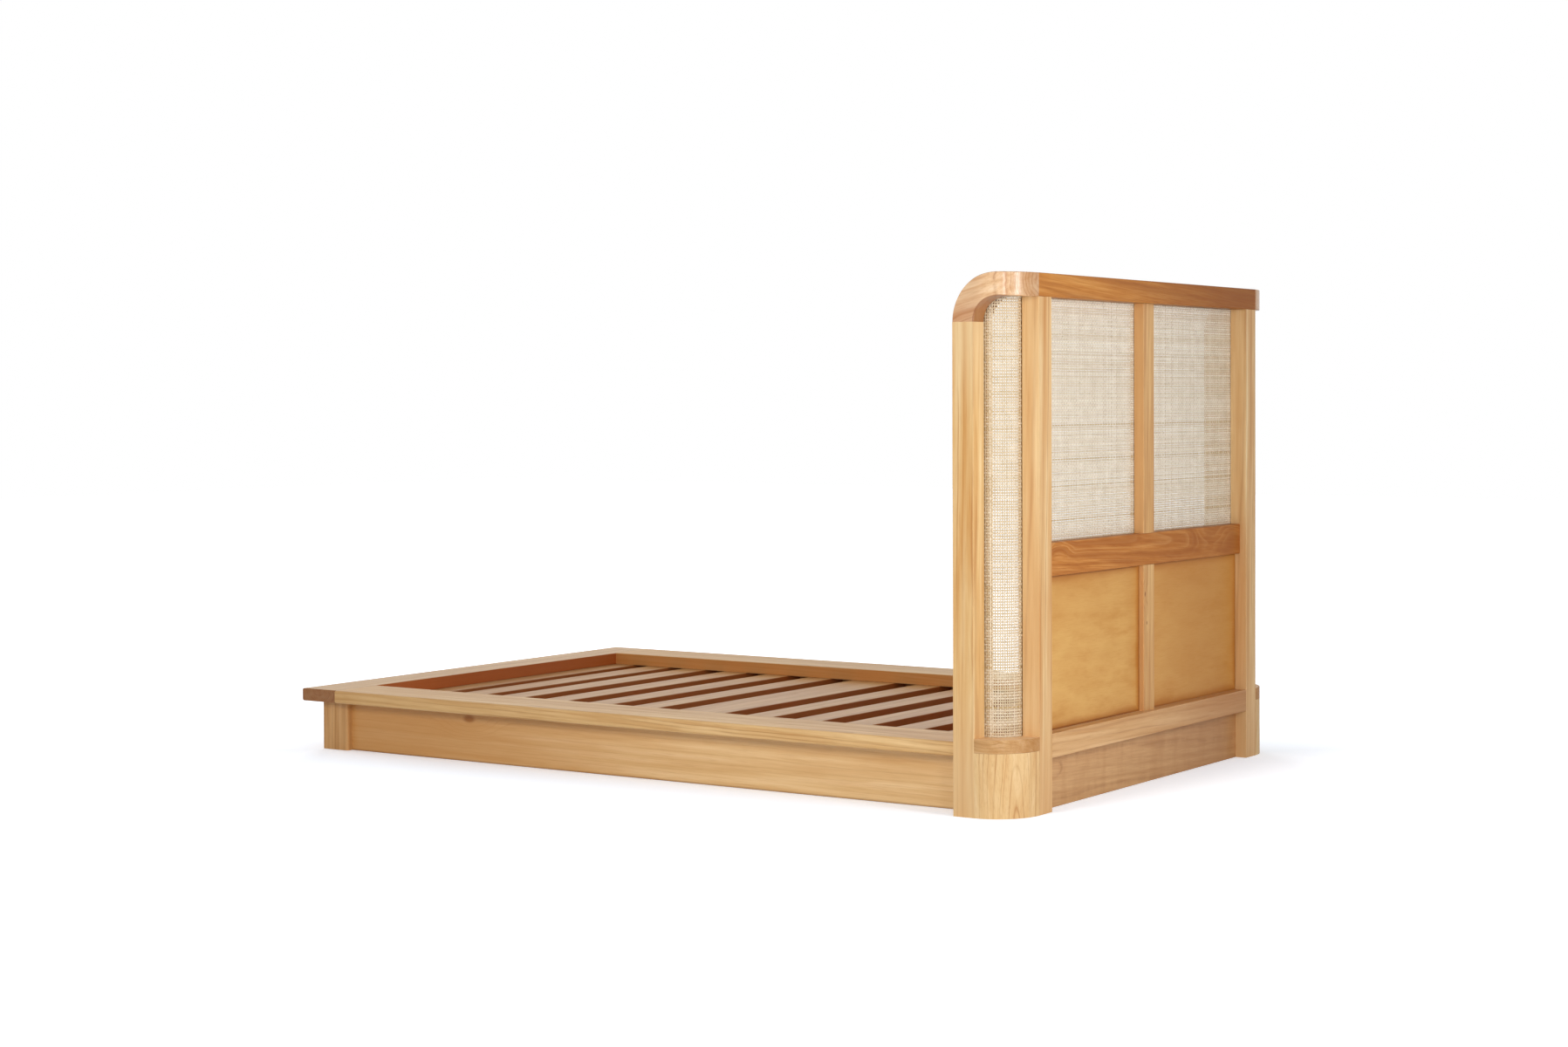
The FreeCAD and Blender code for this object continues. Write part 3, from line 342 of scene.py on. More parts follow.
def dressBoard(ownBoard, *nodeNames):
    # Growth rings round a pith line that runs along the grain, cut by the faces into lines, arches and
    # end-grain rings, with pores, cloudy stain and darker ends. Each board has its own pith.
    board = {**plainBoard, **ownBoard}
    pale, body, late = board["colours"]
    for nodeName in nodeNames:
        dice = random.Random(nodeName)
        low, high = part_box(nodeName)
        middle = (low + high) / 2
        stray = Vector([dice.uniform(-1, 1) * board["strayMm"] for i in range(3)])
        pith = middle + (Vector(board["pithMm"]) + stray) * mm
        leanX, leanY = board["lean"]
        lean = Euler((math.radians(leanX), math.radians(leanY), 0)).to_matrix()
        turn = lean @ grainTurns[board["grain"]].to_matrix()
        material, tree = blankMaterial(board["wood"] + ", " + nodeName)
        coords = addNode(tree, "ShaderNodeTexCoord")
        place = coords.outputs["Object"]
        along = addNode(tree, "ShaderNodeMapping",
                        values={"Rotation": turn.to_euler(), "Location": -(turn @ pith)},
                        links={"Vector": place}).outputs[0]
        count, hearts = growthRings(tree, board, place, along)
        streaks = grainPattern(tree, along, board["streakMm"], 4.0, 0.6).outputs["Fac"]
        clouds = grainPattern(tree, along, board["cloudMm"], 3.0).outputs["Fac"]
        pores = grainPattern(tree, along, board["poreMm"], 3.0, 0.65).outputs["Fac"]
        bands = addNode(tree, "ShaderNodeTexNoise", {"noise_dimensions": "1D"},
                        {"Scale": board["bandPerRing"], "Detail": 2.0}, {"W": count}).outputs["Fac"]

        # long soft streaks carry most of the colour
        honey = [linear(c) for c in (pale, body, board["cloud"])]
        colour = addNode(tree, "ShaderNodeValToRGB", links={"Fac": streaks},
                         stops=zip(board["streakStops"], honey)).outputs[0]
        # late wood at the end of each ring, in lines that come and go
        rings = addNode(tree, "ShaderNodeMath", {"operation": "FRACT"}, links={0: count}).outputs[0]
        tailEnd, tailShow = board["lineTail"]
        lines = addNode(tree, "ShaderNodeValToRGB", links={"Fac": rings},
                        stops=[(0, grey(tailShow)), (tailEnd, grey(0)), (board["lineFrom"], grey(0)),
                               (board["lineFull"], grey(1)), (1, grey(tailShow))])
        start, full = board["fadeFrom"]
        fade = addNode(tree, "ShaderNodeMapRange",
                       values={"From Min": start, "From Max": full,
                               "To Min": board["fadeLeast"] * board["ringShow"], "To Max": board["ringShow"]},
                       links={"Value": clouds}).outputs[0]
        lines = addNode(tree, "ShaderNodeMath", {"operation": "MULTIPLY"},
                        links={0: fade, 1: lines.outputs[0]}).outputs[0]
        # what lies over the streaks, in order: stain that takes in bands of rings and in clouds, fills the
        # pores and gathers at knots, then the panels' ragged band with its painted shadow line, colour
        # towards one end (partly painted shade), the painted shade under the sweep, and the end grain's stain
        # with painted light and shade on faces
        layers = [(lines, late)]
        for kind, pattern, shade in (("band", bands, board["cloud"]), ("cloud", clouds, board["cloud"]),
                                     ("pore", pores, board.get("pore", late))):
            start, full = board[kind + "From"]
            share = addNode(tree, "ShaderNodeMapRange",
                            values={"From Min": start, "From Max": full, "To Max": board[kind + "Show"]},
                            links={"Value": pattern}).outputs[0]
            layers.append((share, shade))
        layers += [(heart, board["knot"]) for heart in hearts]
        if "rim" in board:
            layers += panelRim(tree, board["rim"], place, low, high, clouds)
        layers += stainAndPaintedShade(tree, board, place)
        if "hollow" in board:
            layers += paintedSweepShade(tree, board["hollow"], place)
        layers += endStainAndPaintedFaces(tree, board, coords.outputs["Normal"], middle)
        for share, shade in layers:
            colour = addNode(tree, "ShaderNodeMix", {"data_type": "RGBA"}, {7: linear(shade)},
                             {0: share, 6: colour}).outputs[2]

        sheenLow, sheenHigh = board["roughness"]
        sheen = addNode(tree, "ShaderNodeMapRange",
                        values={"From Min": noiseLow, "From Max": noiseHigh, "To Min": sheenLow,
                                "To Max": sheenHigh}, links={"Value": pores}).outputs[0]
        relief = addNode(tree, "ShaderNodeMath", {"operation": "MULTIPLY_ADD"}, {1: -board["lineSink"]},
                         {0: lines, 2: pores}).outputs[0]
        relief = addNode(tree, "ShaderNodeBump",
                         values={"Strength": board["reliefStrength"], "Distance": board["reliefMm"] * mm},
                         links={"Height": relief}).outputs[0]
        surface = addNode(tree, "ShaderNodeBsdfPrincipled",
                          values={"IOR": board["ior"], "Specular IOR Level": board["gloss"],
                                  "Coat Weight": board["coat"], "Coat Roughness": board["coatRoughness"]},
                          links={"Base Color": colour, "Roughness": sheen, "Normal": relief})
        addNode(tree, "ShaderNodeOutputMaterial", links={"Surface": surface.outputs[0]})
        giveMaterial(nodeName, material)


# Headboard posts: straight-grained, the palest boards, browner towards the floor
wingStile = {
    "wood": "honey ash", "grain": "Z", "pithMm": (-40, -210, 0), "lean": (0.4, 1.0), "ringMm": 19,
    "colours": ("#EACF9D", "#DFB97F", "#AF723A"), "cloud": "#C98F4B", "swayMm": (9, 70, 420),
    "ringShow": 0.85, "lineFrom": 0.76,
    "shade": (("Z", 330, 60, "#D9B382", 0.6), ("Z", 800, 1030, "#E9CC9F", 0.4)),
    "knots": (((560, 950, 1005), 3), ((556, 950, 985), 3)), "knot": "#8A4F22", "knotRings": 0.6,
}
dressBoard(wingStile, "wing_stile_right", "wing_stile_left")
backStile = {
    "wood": "honey ash", "grain": "Z", "pithMm": (-170, 160, 0), "lean": (0.6, 0.8), "ringMm": 20,
    "colours": ("#E8CD9C", "#D9B27C", "#A96C36"), "cloud": "#C48A4A", "swayMm": (9, 70, 420),
    "ringShow": 0.85, "lineFrom": 0.76,
    # the faces across X are painted paler: painted light on the lit sides
    "shade": (("Z", 330, 60, "#D6AC79", 0.5),), "paintedLightAndShade": (("X", "both", "#E6BC86", 0.35),),
}
dressBoard(backStile, "back_stile_right", "back_stile_left")

# Corner foot: a pale block with arched grain under a cap with level grain
baseBlock = {
    "wood": "honey ash", "grain": "Z", "pithMm": (10, 26, 0), "strayMm": 2, "lean": (-5, 5), "ringMm": 9,
    "colours": ("#E2C293", "#DBB884", "#A66B34"), "cloud": "#CFA26C", "swayMm": (6, 50, 200),
    "ringShow": 0.75, "lineFrom": 0.74, "bandShow": 0.2, "cloudShow": 0.2, "streakMm": (16, 500),
    "gloss": 0.25, "coat": 0.0,
}
dressBoard(baseBlock, "base_block_right", "base_block_left")
baseCap = {
    "wood": "honey ash", "grain": "Y", "pithMm": (30, 0, -70), "lean": (7, 5), "ringMm": 9,
    "colours": ("#D6B084", "#C59B69", "#8E5D30"), "cloud": "#AF7E4B", "swayMm": (9, 36, 120),
    # top and underside painted paler: a painted sheen on the top
    "paintedLightAndShade": (("Z", "both", "#F0C594", 0.6),), "gloss": 0.2, "coat": 0.0,
}
dressBoard(baseCap, "base_cap_right", "base_cap_left")

# Swept top corner: polished most of all, with the grain climbing to the back, pale colours that partly
# stand for a painted sheen, and painted shade on the underside of the sweep
topCorner = {
    "wood": "honey ash", "grain": "Y", "pithMm": (-60, 20, 20), "strayMm": 4, "lean": (-15, 4), "ringMm": 8,
    # these pale colours stand partly for a painted sheen
    "colours": ("#EDD1AD", "#DFBA90", "#96582A"), "cloud": "#BE8552", "swayMm": (8, 50, 160),
    "ringShow": 0.9, "shade": (("Z", 1110, 1045, "#BB7C4E", 0.45),),
    # painted shade on the downward-facing inside of the sweep
    "hollow": {"centreMm": (1004, 1036), "radiusMm": 56, "softMm": 1, "colour": "#84491F", "show": 0.75},
    "roughness": (0.28, 0.38), "gloss": 0.3, "coat": 0.55, "coatRoughness": 0.15,
}
dressBoard(topCorner, "top_corner_right", "top_corner_left")

# Back rails: warmer, darker boards, the middle one flat-sawn with bold arches
topRail = {
    "wood": "honey ash", "grain": "X", "pithMm": (0, -140, -160), "lean": (0.8, 3.2), "ringMm": 16,
    "colours": ("#D09650", "#BF7D38", "#87481B"), "cloud": "#A4632A", "swayMm": (10, 60, 260),
    # darker towards the far end: painted shade where the light falls off
    "streakMm": (8, 260), "shade": (("X", 320, -420, "#874816", 0.7),), "gloss": 0.15, "coat": 0.0,
}
dressBoard(topRail, "top_rail")
midRail = {
    "wood": "honey ash", "grain": "X", "pithMm": (0, -44, 10), "lean": (1.4, 4.2), "ringMm": 3.2,
    "colours": ("#CC8D4A", "#B97534", "#D9A261"), "cloud": "#9C5822", "swayMm": (6, 110, 340),
    "ringShow": 0.6, "lineFrom": 0.45, "bandShow": 0.6, "pore": "#85491D", "streakMm": (9, 150),
    "knots": (((406, 1033, 560), 8), ((-297, 1033, 548), 12)), "knot": "#A9682F", "knotShow": 0.5,
    # darker towards the far end: painted shade where the light falls off
    "shade": (("X", 300, -420, "#985722", 0.45),), "gloss": 0.15, "coat": 0.0,
}
dressBoard(midRail, "mid_rail")
bottomRail = {
    "wood": "honey ash", "grain": "X", "pithMm": (0, 40, -190), "lean": (0.4, 1.4), "ringMm": 13,
    "colours": ("#E2BA88", "#D2A672", "#9C6434"), "cloud": "#BF8A52", "swayMm": (10, 60, 260),
    # darker towards the far end: painted shade where the light falls off
    "lineFrom": 0.7, "shade": (("X", 200, -420, "#A4652C", 0.6),),
}
dressBoard(bottomRail, "bottom_rail")
mullion = {
    "wood": "honey ash", "grain": "Z", "pithMm": (110, 60, 0), "lean": (0.5, 1.2), "ringMm": 13,
    "colours": ("#DDB57C", "#CD9E62", "#96582A"), "cloud": "#B67B40", "swayMm": (8, 50, 260),
    "knots": (((19, 1033, 431), 4), ((11, 1033, 365), 3)), "knot": "#7A431D", "knotRings": 0.8,
    # the faces across X are painted paler: painted light on the lit sides
    "paintedLightAndShade": (("X", "both", "#E6B074", 0.7),),
}
dressBoard(mullion, "upper_mullion", "lower_mullion")
backSkirt = {
    "wood": "honey ash", "grain": "X", "pithMm": (0, -46, -30), "lean": (1.0, 3.0), "ringMm": 15,
    "colours": ("#D2A674", "#C59867", "#8A5A32"), "cloud": "#B2814F", "swayMm": (12, 80, 260),
    "ringShow": 0.45, "cloudMm": (120, 34), "poreMm": (1.8, 40), "poreShow": 0.25, "streakMm": (10, 300),
    "knots": (((414, 1040, 78), 7),), "knot": "#B98656", "knotShow": 0.3, "knotRings": 2.0,
    # darker towards the far end: painted shade where the light falls off
    "shade": (("X", 200, -420, "#9E6536", 0.4),),
}
dressBoard(backSkirt, "back_skirt")

# Lower panels: thin honey veneer, blotchy, darker in a ragged band along the frame, with a thin painted
# shadow line where they meet it
lowerPanel = {
    "wood": "honey birch veneer", "grain": "X", "pithMm": (0, -900, 300), "lean": (0.2, 0.4), "ringMm": 60,
    "colours": ("#D8A962", "#D2A05A", "#A96C2B"), "cloud": "#C1883F", "swayMm": (14, 110, 300),
    "cloudMm": (55, 120), "poreMm": (2.2, 36), "poreShow": 0.2, "ringShow": 0.12, "bandShow": 0.1,
    "streakMm": (40, 150), "gloss": 0.25, "coat": 0.0,
    # the thin dark line at the frame is a painted shadow line
    "rim": {"stain": "#A05C1C", "stainMm": (8, 30), "stainShow": 0.75, "raggedMm": 8,
            "paintedShadowLine": "#7A4416", "paintedShadowLineMm": (9, 12), "paintedShadowLineShow": 0.8},
    # darker towards the far end as a painted shade where the light falls off, also darker towards the top and
    # the mullion
    "shade": (("X", 60, -300, "#B4762F", 0.4), ("Z", 330, 500, "#B77A36", 0.3),
              ("X", 110, 20, "#B4712C", 0.25)),
}
dressBoard(lowerPanel, "lower_panel_right", "lower_panel_left")

# Platform: pale ledges and skirts, with painted shade in orange on the inner sides that face the mattress
sideLedge = {
    "wood": "honey ash", "grain": "Y", "pithMm": (70, 0, -85), "lean": (1.2, 0.6), "ringMm": 11,
    "colours": ("#EFCB95", "#DFB880", "#9A6430"), "cloud": "#C59256", "swayMm": (8, 60, 300),
    # the inner side is painted darker orange as painted shade; darker towards the foot as painted shade where
    # the light falls off
    "ringShow": 0.6, "paintedLightAndShade": (("X", "inner", "#C8803E", 0.75),),
    "shade": (("Y", -300, -950, "#CB9552", 0.3),), "gloss": 0.3, "coat": 0.0,
}
dressBoard(sideLedge, "side_ledge_right", "side_ledge_left")
sideSkirt = {
    "wood": "honey ash", "grain": "Y", "pithMm": (60, 0, -170), "lean": (0.5, 0.6), "ringMm": 14,
    "colours": ("#F5D3A1", "#EAC48D", "#B88248"), "cloud": "#D5A66B", "swayMm": (8, 70, 500),
    "ringShow": 0.4, "lineFrom": 0.74, "bandShow": 0.25, "streakMm": (20, 520),
    "knots": (((539, -542, 103), 13),), "knot": "#7A3A16", "knotShow": 0.95,
    # darker towards the foot: painted shade where the light falls off; also darker along the bottom edge
    "shade": (("Y", 400, -850, "#C8863A", 0.65), ("Z", 6, 0, "#7E4A22", 0.6)),
}
dressBoard(sideSkirt, "side_skirt_right", "side_skirt_left")
footLedge = {
    "wood": "honey ash", "grain": "X", "pithMm": (0, 0, 16), "strayMm": 1, "lean": (0.1, 0.1), "ringMm": 11,
    "colours": ("#E2BB86", "#D6AC72", "#7E4A20"), "cloud": "#BE8B51", "ringShow": 0.85,
    # the inner side, facing the mattress, is painted dark orange: painted shade
    "end": "#84451A", "endShow": 0.74, "paintedLightAndShade": (("Y", "inner", "#B4571A", 0.88),),
}
dressBoard(footLedge, "foot_ledge")
footSkirt = {
    "wood": "honey ash", "grain": "X", "pithMm": (0, 120, -120), "ringMm": 13,
    "colours": ("#DBB075", "#D0A166", "#A5713B"), "cloud": "#BC894D",
}
dressBoard(footSkirt, "foot_skirt", "head_rail")
footLeg = {
    "wood": "honey ash", "grain": "Z", "pithMm": (90, 80, 0), "ringMm": 12,
    "colours": ("#DFB27A", "#D3A166", "#96602F"), "cloud": "#B98449",
}
dressBoard(footLeg, "foot_leg_right", "foot_leg_left", "centre_legs")

# Slats, duller than the frame, and the rough runners under them
slat = {
    "wood": "honey ash", "grain": "X", "pithMm": (0, 60, -130), "strayMm": 60, "lean": (0.6, 1.1),
    "ringMm": 13, "colours": ("#D5AA76", "#C79A64", "#9C6734"), "cloud": "#B17E47", "swayMm": (8, 60, 320),
    # both sides between the slats are painted dark: painted shade
    "paintedLightAndShade": (("Y", "both", "#9C4F1B", 0.82),),
}
dressBoard(slat, "head_slat", *["slat_%02d" % i for i in range(1, 14)])
runner = {
    "wood": "honey ash", "grain": "Y", "pithMm": (90, 0, 110), "ringMm": 13,
    "colours": ("#C79254", "#BA8346", "#8F5825"), "cloud": "#A46D34",
}
dressBoard(runner, "slat_ledger_right", "slat_ledger_left", "centre_beam")
dowel = {
    "wood": "plain beech", "grain": "X", "pithMm": (0, 200, 60), "ringMm": 3, "poreMm": (1.2, 9),
    "colours": ("#E2C39A", "#D8B68B", "#B98F63"), "cloud": "#C9A275",
}
dressBoard(dowel, "frame_dowels", "platform_dowels")
print("boards grained")

# Zinc-plated steel: bright grey with a faint yellow cast, dulled in small patches
zincSteel = {
    "bright": "#C9CBC8", "brightTo": 0.35, "dull": "#A3A49C", "dullFrom": 0.7, "patchMm": 2.5,
    "roughness": (0.24, 0.46), "reliefMm": 0.05, "reliefStrength": 0.1,
}
material, tree = blankMaterial("zinc plated steel")
coords = addNode(tree, "ShaderNodeTexCoord")
patches = addNode(tree, "ShaderNodeTexNoise",
                  values={"Scale": 1 / (zincSteel["patchMm"] * mm), "Detail": 3.0},
                  links={"Vector": coords.outputs["Object"]})
colour = addNode(tree, "ShaderNodeValToRGB", links={"Fac": patches.outputs["Fac"]},
                 stops=[(zincSteel["brightTo"], linear(zincSteel["bright"])),
                        (zincSteel["dullFrom"], linear(zincSteel["dull"]))])
sheenLow, sheenHigh = zincSteel["roughness"]
sheen = addNode(tree, "ShaderNodeMapRange",
                values={"From Min": noiseLow, "From Max": noiseHigh, "To Min": sheenLow, "To Max": sheenHigh},
                links={"Value": patches.outputs["Fac"]})
relief = addNode(tree, "ShaderNodeBump",
                 values={"Strength": zincSteel["reliefStrength"], "Distance": zincSteel["reliefMm"] * mm},
                 links={"Height": patches.outputs["Fac"]})
surface = addNode(tree, "ShaderNodeBsdfPrincipled", values={"Metallic": 1.0},
                  links={"Base Color": colour.outputs[0], "Roughness": sheen.outputs[0],
                         "Normal": relief.outputs[0]})
addNode(tree, "ShaderNodeOutputMaterial", links={"Surface": surface.outputs[0]})
for nodeName in ("bed_bolts", "threaded_inserts", "barrel_nuts", "slat_screws", "ledger_screws"):
    giveMaterial(nodeName, material)
print("fastenings plated")

# Split rattan cane, bleached and woven open: flat cream strands, each a little different, with brown flecks
caneFinish = {
    "pale": "#F4E9D6", "paleTo": 0.15, "deep": "#C2A470", "deepFrom": 1.0, "patchMm": 28, "patchShow": 0.3,
    "fleck": "#8F7350", "fleckMm": 3.0, "fleckFrom": (0.68, 0.76), "fleckShow": 0.7,
    "edge": "#AD9270", "edgeFrom": (0.3, 0.48), "edgeShow": 0.9,
    "fibres": (40, 7, 1),  # along and across a strand, drawn coarser than the real 0.1 mm
    "roughness": (0.5, 0.68), "ior": 1.45, "gloss": 0.25, "reliefMm": 0.1, "reliefStrength": 0.3,
}
caneMaterial, tree = blankMaterial("split rattan cane")
coords = addNode(tree, "ShaderNodeTexCoord")
tone = addNode(tree, "ShaderNodeAttribute", {"attribute_name": "strandTone"})
patches = addNode(tree, "ShaderNodeTexNoise",
                  values={"Scale": 1 / (caneFinish["patchMm"] * mm), "Detail": 2.0},
                  links={"Vector": coords.outputs["Object"]})
mixed = addNode(tree, "ShaderNodeMath", {"operation": "MULTIPLY_ADD"}, {1: caneFinish["patchShow"]},
                {0: patches.outputs["Fac"], 2: tone.outputs["Fac"]})
colour = addNode(tree, "ShaderNodeValToRGB", links={"Fac": mixed.outputs[0]},
                 stops=[(caneFinish["paleTo"], linear(caneFinish["pale"])),
                        (caneFinish["deepFrom"], linear(caneFinish["deep"]))])
flecks = addNode(tree, "ShaderNodeTexNoise",
                 values={"Scale": 1 / (caneFinish["fleckMm"] * mm), "Detail": 1.0},
                 links={"Vector": coords.outputs["Object"]})
start, full = caneFinish["fleckFrom"]
flecks = addNode(tree, "ShaderNodeMapRange",
                 values={"From Min": start, "From Max": full, "To Max": caneFinish["fleckShow"]},
                 links={"Value": flecks.outputs["Fac"]})
colour = addNode(tree, "ShaderNodeMix", {"data_type": "RGBA"}, {7: linear(caneFinish["fleck"])},
                 {0: flecks.outputs[0], 6: colour.outputs[0]})
# each strand is darker along its two cut edges, more so in some stretches
edges = addNode(tree, "ShaderNodeSeparateXYZ", links={0: coords.outputs["UV"]})
edges = addNode(tree, "ShaderNodeMath", {"operation": "SUBTRACT"}, {1: 0.5}, {0: edges.outputs[1]})
edges = addNode(tree, "ShaderNodeMath", {"operation": "ABSOLUTE"}, links={0: edges.outputs[0]})
start, full = caneFinish["edgeFrom"]
edges = addNode(tree, "ShaderNodeMapRange",
                values={"From Min": start, "From Max": full, "To Max": caneFinish["edgeShow"]},
                links={"Value": edges.outputs[0]})
edges = addNode(tree, "ShaderNodeMath", {"operation": "MULTIPLY"},
                links={0: edges.outputs[0], 1: patches.outputs["Fac"]})
colour = addNode(tree, "ShaderNodeMix", {"data_type": "RGBA"}, {7: linear(caneFinish["edge"])},
                 {0: edges.outputs[0], 6: colour.outputs[2]})
# fibres run along each strand's own UV map
fibres = addNode(tree, "ShaderNodeMapping", values={"Scale": caneFinish["fibres"]},
                 links={"Vector": coords.outputs["UV"]})
fibres = addNode(tree, "ShaderNodeTexNoise", values={"Scale": 1.0, "Detail": 2.0},
                 links={"Vector": fibres.outputs[0]})
sheenLow, sheenHigh = caneFinish["roughness"]
sheen = addNode(tree, "ShaderNodeMapRange",
                values={"From Min": noiseLow, "From Max": noiseHigh, "To Min": sheenLow, "To Max": sheenHigh},
                links={"Value": fibres.outputs["Fac"]})
relief = addNode(tree, "ShaderNodeBump",
                 values={"Strength": caneFinish["reliefStrength"], "Distance": caneFinish["reliefMm"] * mm},
                 links={"Height": fibres.outputs["Fac"]})
surface = addNode(tree, "ShaderNodeBsdfPrincipled",
                  values={"IOR": caneFinish["ior"], "Specular IOR Level": caneFinish["gloss"]},
                  links={"Base Color": colour.outputs[2], "Roughness": sheen.outputs[0],
                         "Normal": relief.outputs[0]})
addNode(tree, "ShaderNodeOutputMaterial", links={"Surface": surface.outputs[0]})

# How unevenly the strands lie and how they differ: a browner strand is thinner than a pale one
strandHabits = {
    "spacing": (0.94, 1.06), "gapMm": 0.5, "gapShare": 0.12, "width": (0.92, 1.06),
    "brownTone": (0.5, 0.9), "brownThinner": 0.4, "slopeMm": 0.4, "driftOverMm": 70,
}


def strandPlaces(low, high, pitch, dice):
    # uneven spacing, now and then with a wider gap
    places = []
    at = low
    while at <= high:
        places.append(at)
        step = pitch * dice.uniform(*strandHabits["spacing"])
        if dice.random() < strandHabits["gapShare"]:
            step += strandHabits["gapMm"]
        at += step
    return places


def weaveSheet(name, sheet):
    # a flat sheet in X and Z that faces +Y, every strand over one neighbour and under the next
    dice = random.Random(sheet["seed"])
    columns = strandPlaces(*sheet["columnsMm"], dice)
    rows = strandPlaces(*sheet["rowsMm"], dice)
    selvageMm, selvageWider = sheet["selvage"]
    strands = []
    for upright, places, stops in ((True, columns, rows), (False, rows, columns)):
        ends = [stops[0] - sheet["tailMm"]] + stops + [stops[-1] + sheet["tailMm"]]
        bpy.ops.mesh.primitive_grid_add(x_subdivisions=len(ends) - 1, y_subdivisions=1, size=1)
        master = bpy.context.object
        flat = np.empty(len(master.data.vertices) * 3)
        master.data.vertices.foreach_get("co", flat)
        flat = flat.reshape(-1, 3)
        step = np.rint((flat[:, 0] + 0.5) * (len(ends) - 1)).astype(int)
        run = np.array(ends)[step]
        master.data.attributes.new("strandTone", "FLOAT", "POINT")
        kind, facing = (0, 1) if upright else (1, -1)
        for i, place in enumerate(places):
            strand = master.copy()
            strand.data = master.data.copy()
            scene.collection.objects.link(strand)
            brown = dice.random() < sheet["brownShare"][kind]
            tone = dice.uniform(*(strandHabits["brownTone"] if brown else sheet["tone"]))
            wide = sheet["strandMm"][kind] * dice.uniform(*strandHabits["width"])
            wide *= 1 - strandHabits["brownThinner"] * tone
            if upright and place < selvageMm:
                wide *= selvageWider  # broader strands along the front edge
            slope = dice.uniform(-strandHabits["slopeMm"], strandHabits["slopeMm"])
            side = place + facing * flat[:, 1] * wide + slope * flat[:, 0]
            over = np.where((step + i) % 2 == 0, 1, -1) * facing * sheet["liftMm"]
            shaped = np.stack([side, over, run] if upright else [run, over, side], axis=1) * mm
            strand.data.vertices.foreach_set("co", shaped.ravel())
            strand.data.attributes["strandTone"].data.foreach_set("value", [tone] * len(flat))
            strands.append(strand)
        bpy.data.objects.remove(master)
    bpy.ops.object.select_all(action="DESELECT")
    for strand in strands:
        strand.select_set(True)
    bpy.context.view_layer.objects.active = strands[0]
    bpy.ops.object.join()
    woven = bpy.context.object
    woven.name = name
    woven.data.name = name
    print(name, "woven from", len(strands), "strands")
    return woven


def fitSheet(flatSheet, name, nodeName, sheet, place, side):
    # a copy with its own mesh: put in place, given its thickness and tied to the frame
    bpy.ops.object.select_all(action="DESELECT")
    piece = flatSheet.copy()
    piece.data = flatSheet.data.copy()
    scene.collection.objects.link(piece)
    piece.name = name
    piece.data.name = name
    piece.select_set(True)
    bpy.context.view_layer.objects.active = piece
    noise.seed_set(sheet["seed"])  # without a seed the drift would change from run to run
    for vertex in piece.data.vertices:
        s, n, h = vertex.co / mm  # along the sheet, out of it and up
        patch = Vector((s / strandHabits["driftOverMm"], h / strandHabits["driftOverMm"], sheet["seed"]))
        drift = noise.noise_vector(patch) * sheet["driftMm"]
        x, y, z = place(s + drift.x, n, h + drift.y)
        vertex.co = Vector((side * x, y, z)) * mm
    thick = piece.modifiers.new("thickness", "SOLIDIFY")
    thick.thickness = sheet["thickMm"] * mm
    thick.offset = 0
    bpy.ops.object.modifier_apply(modifier="thickness")
    bpy.ops.object.shade_smooth()
    piece.data.materials.clear()
    piece.data.materials.append(caneMaterial)
    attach(piece, "root")
    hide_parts(nodeName)


# Back cane: two flat sheets in the upper bays, the right one from X 25 to 463 and Z 569 to 1090.
# columnsMm and rowsMm hold the first and last place and the spacing.
backCane = {
    "columnsMm": (22.5, 466, 5.8), "rowsMm": (566.5, 1093, 5.2), "tailMm": 2.0, "strandMm": (2.7, 4.5),
    "liftMm": 0.55, "thickMm": 0.34, "driftMm": 0.3, "brownShare": (0.03, 0.06), "tone": (0.0, 0.4),
    "selvage": (0, 1.0), "faceMm": 1006.8, "seed": 11,
}


def backPlace(s, n, h):
    return s, backCane["faceMm"] + n, h


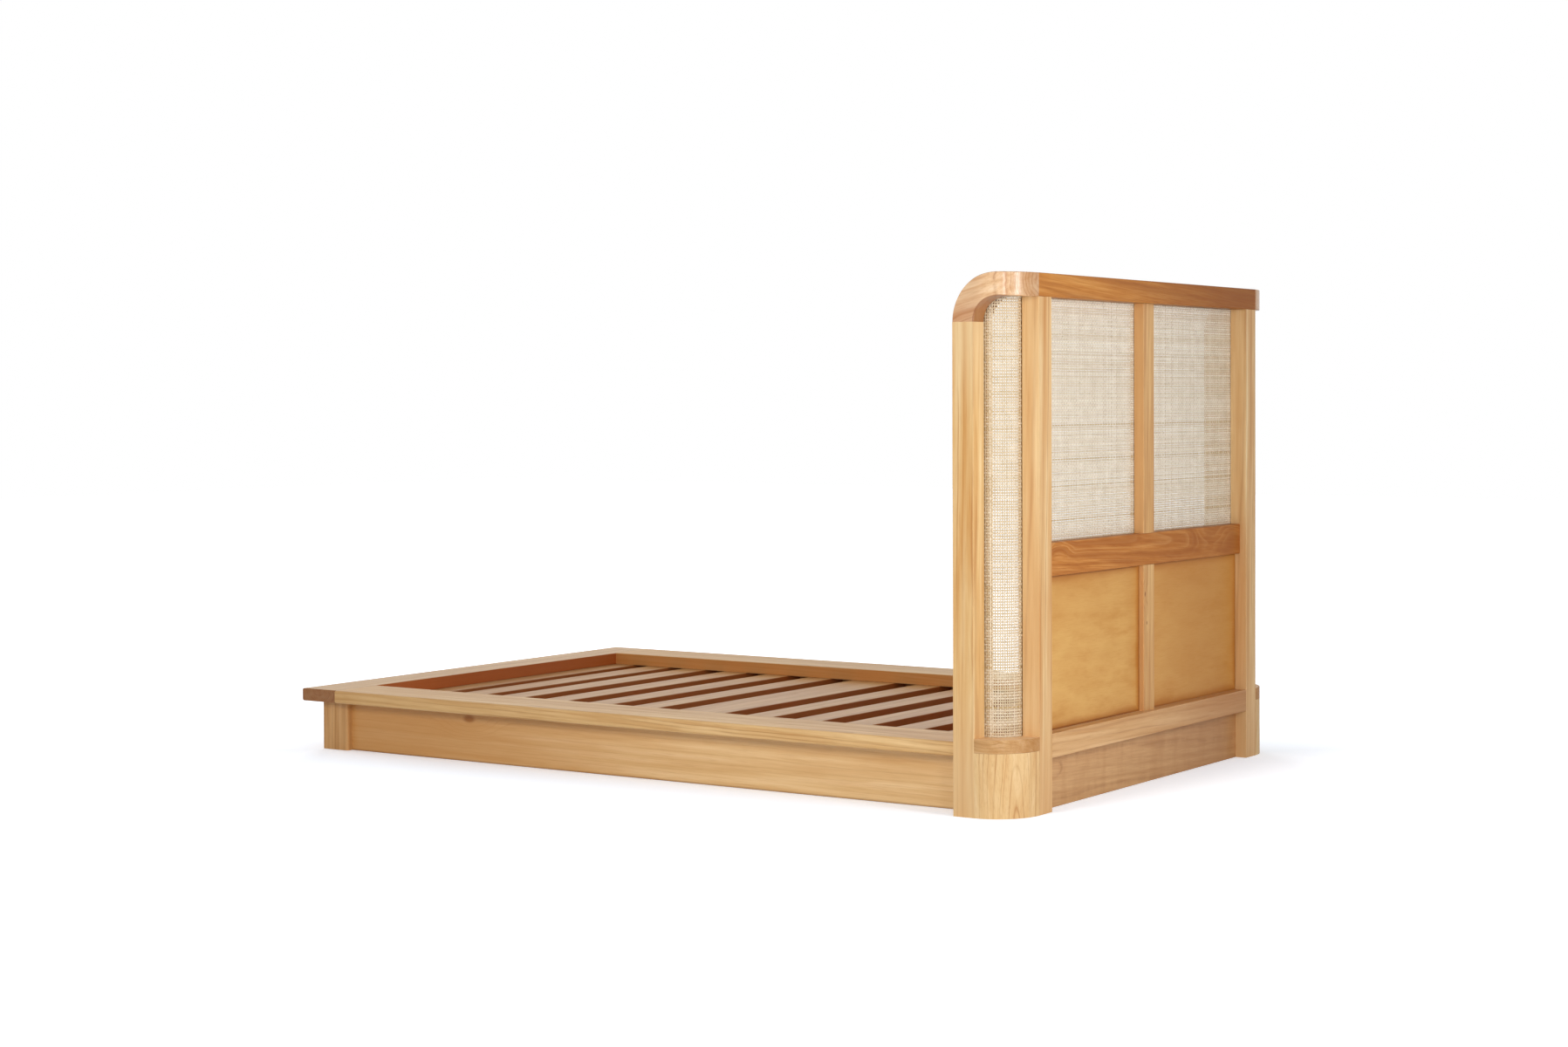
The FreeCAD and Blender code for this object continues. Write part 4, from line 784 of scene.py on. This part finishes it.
flatSheet = weaveSheet("backCaneFlat", backCane)
fitSheet(flatSheet, "backCaneRight", "back_cane_right", backCane, backPlace, 1)
fitSheet(flatSheet, "backCaneLeft", "back_cane_left", backCane, backPlace, -1)
bpy.data.objects.remove(flatSheet)

# Corner cane: a sheet bent round the quarter circle between the two posts, its top cut to the swept corner
cornerCane = {
    "columnsMm": (-2.4, 87.2, 5.1), "rowsMm": (161, 1094, 6.0), "tailMm": 3.0, "strandMm": (3.5, 4.4),
    "liftMm": 0.55, "thickMm": 0.34, "driftMm": 0.4, "brownShare": (0.0, 0.05), "tone": (0.3, 0.65),
    "selvage": (20, 1.4), "seed": 5,
    "centreMm": (515, 950), "radiusMm": 56.8, "sweepMm": (1004, 1036, 58.5),
}


def cornerPlace(s, n, h):
    radius = cornerCane["radiusMm"]
    centreX, centreY = cornerCane["centreMm"]
    angle = min(max(s / radius, 0), math.pi / 2)
    spare = s - angle * radius  # what runs straight on into a post's groove
    x = centreX + (radius + n) * math.cos(angle) - (spare if angle > 0 else 0)
    y = centreY + (radius + n) * math.sin(angle) + (spare if angle == 0 else 0)
    return x, y, h


flatSheet = weaveSheet("cornerCaneFlat", cornerCane)
# everything above the sweep is cut away, just inside the groove
sweepY, sweepZ, sweepRadius = cornerCane["sweepMm"]
bpy.ops.object.mode_set(mode="EDIT")
bpy.ops.mesh.select_mode(type="FACE")
bpy.ops.mesh.select_all(action="DESELECT")
bpy.ops.object.mode_set(mode="OBJECT")
for face in flatSheet.data.polygons:
    s, n, h = face.center / mm
    y = cornerPlace(s, 0, h)[1]
    face.select = y < sweepY and h > sweepZ and math.hypot(y - sweepY, h - sweepZ) > sweepRadius
bpy.ops.object.mode_set(mode="EDIT")
bpy.ops.mesh.delete(type="FACE")
bpy.ops.object.mode_set(mode="OBJECT")
fitSheet(flatSheet, "cornerCaneRight", "corner_cane_right", cornerCane, cornerPlace, 1)
fitSheet(flatSheet, "cornerCaneLeft", "corner_cane_left", cornerCane, cornerPlace, -1)
bpy.data.objects.remove(flatSheet)
print("cane fitted")
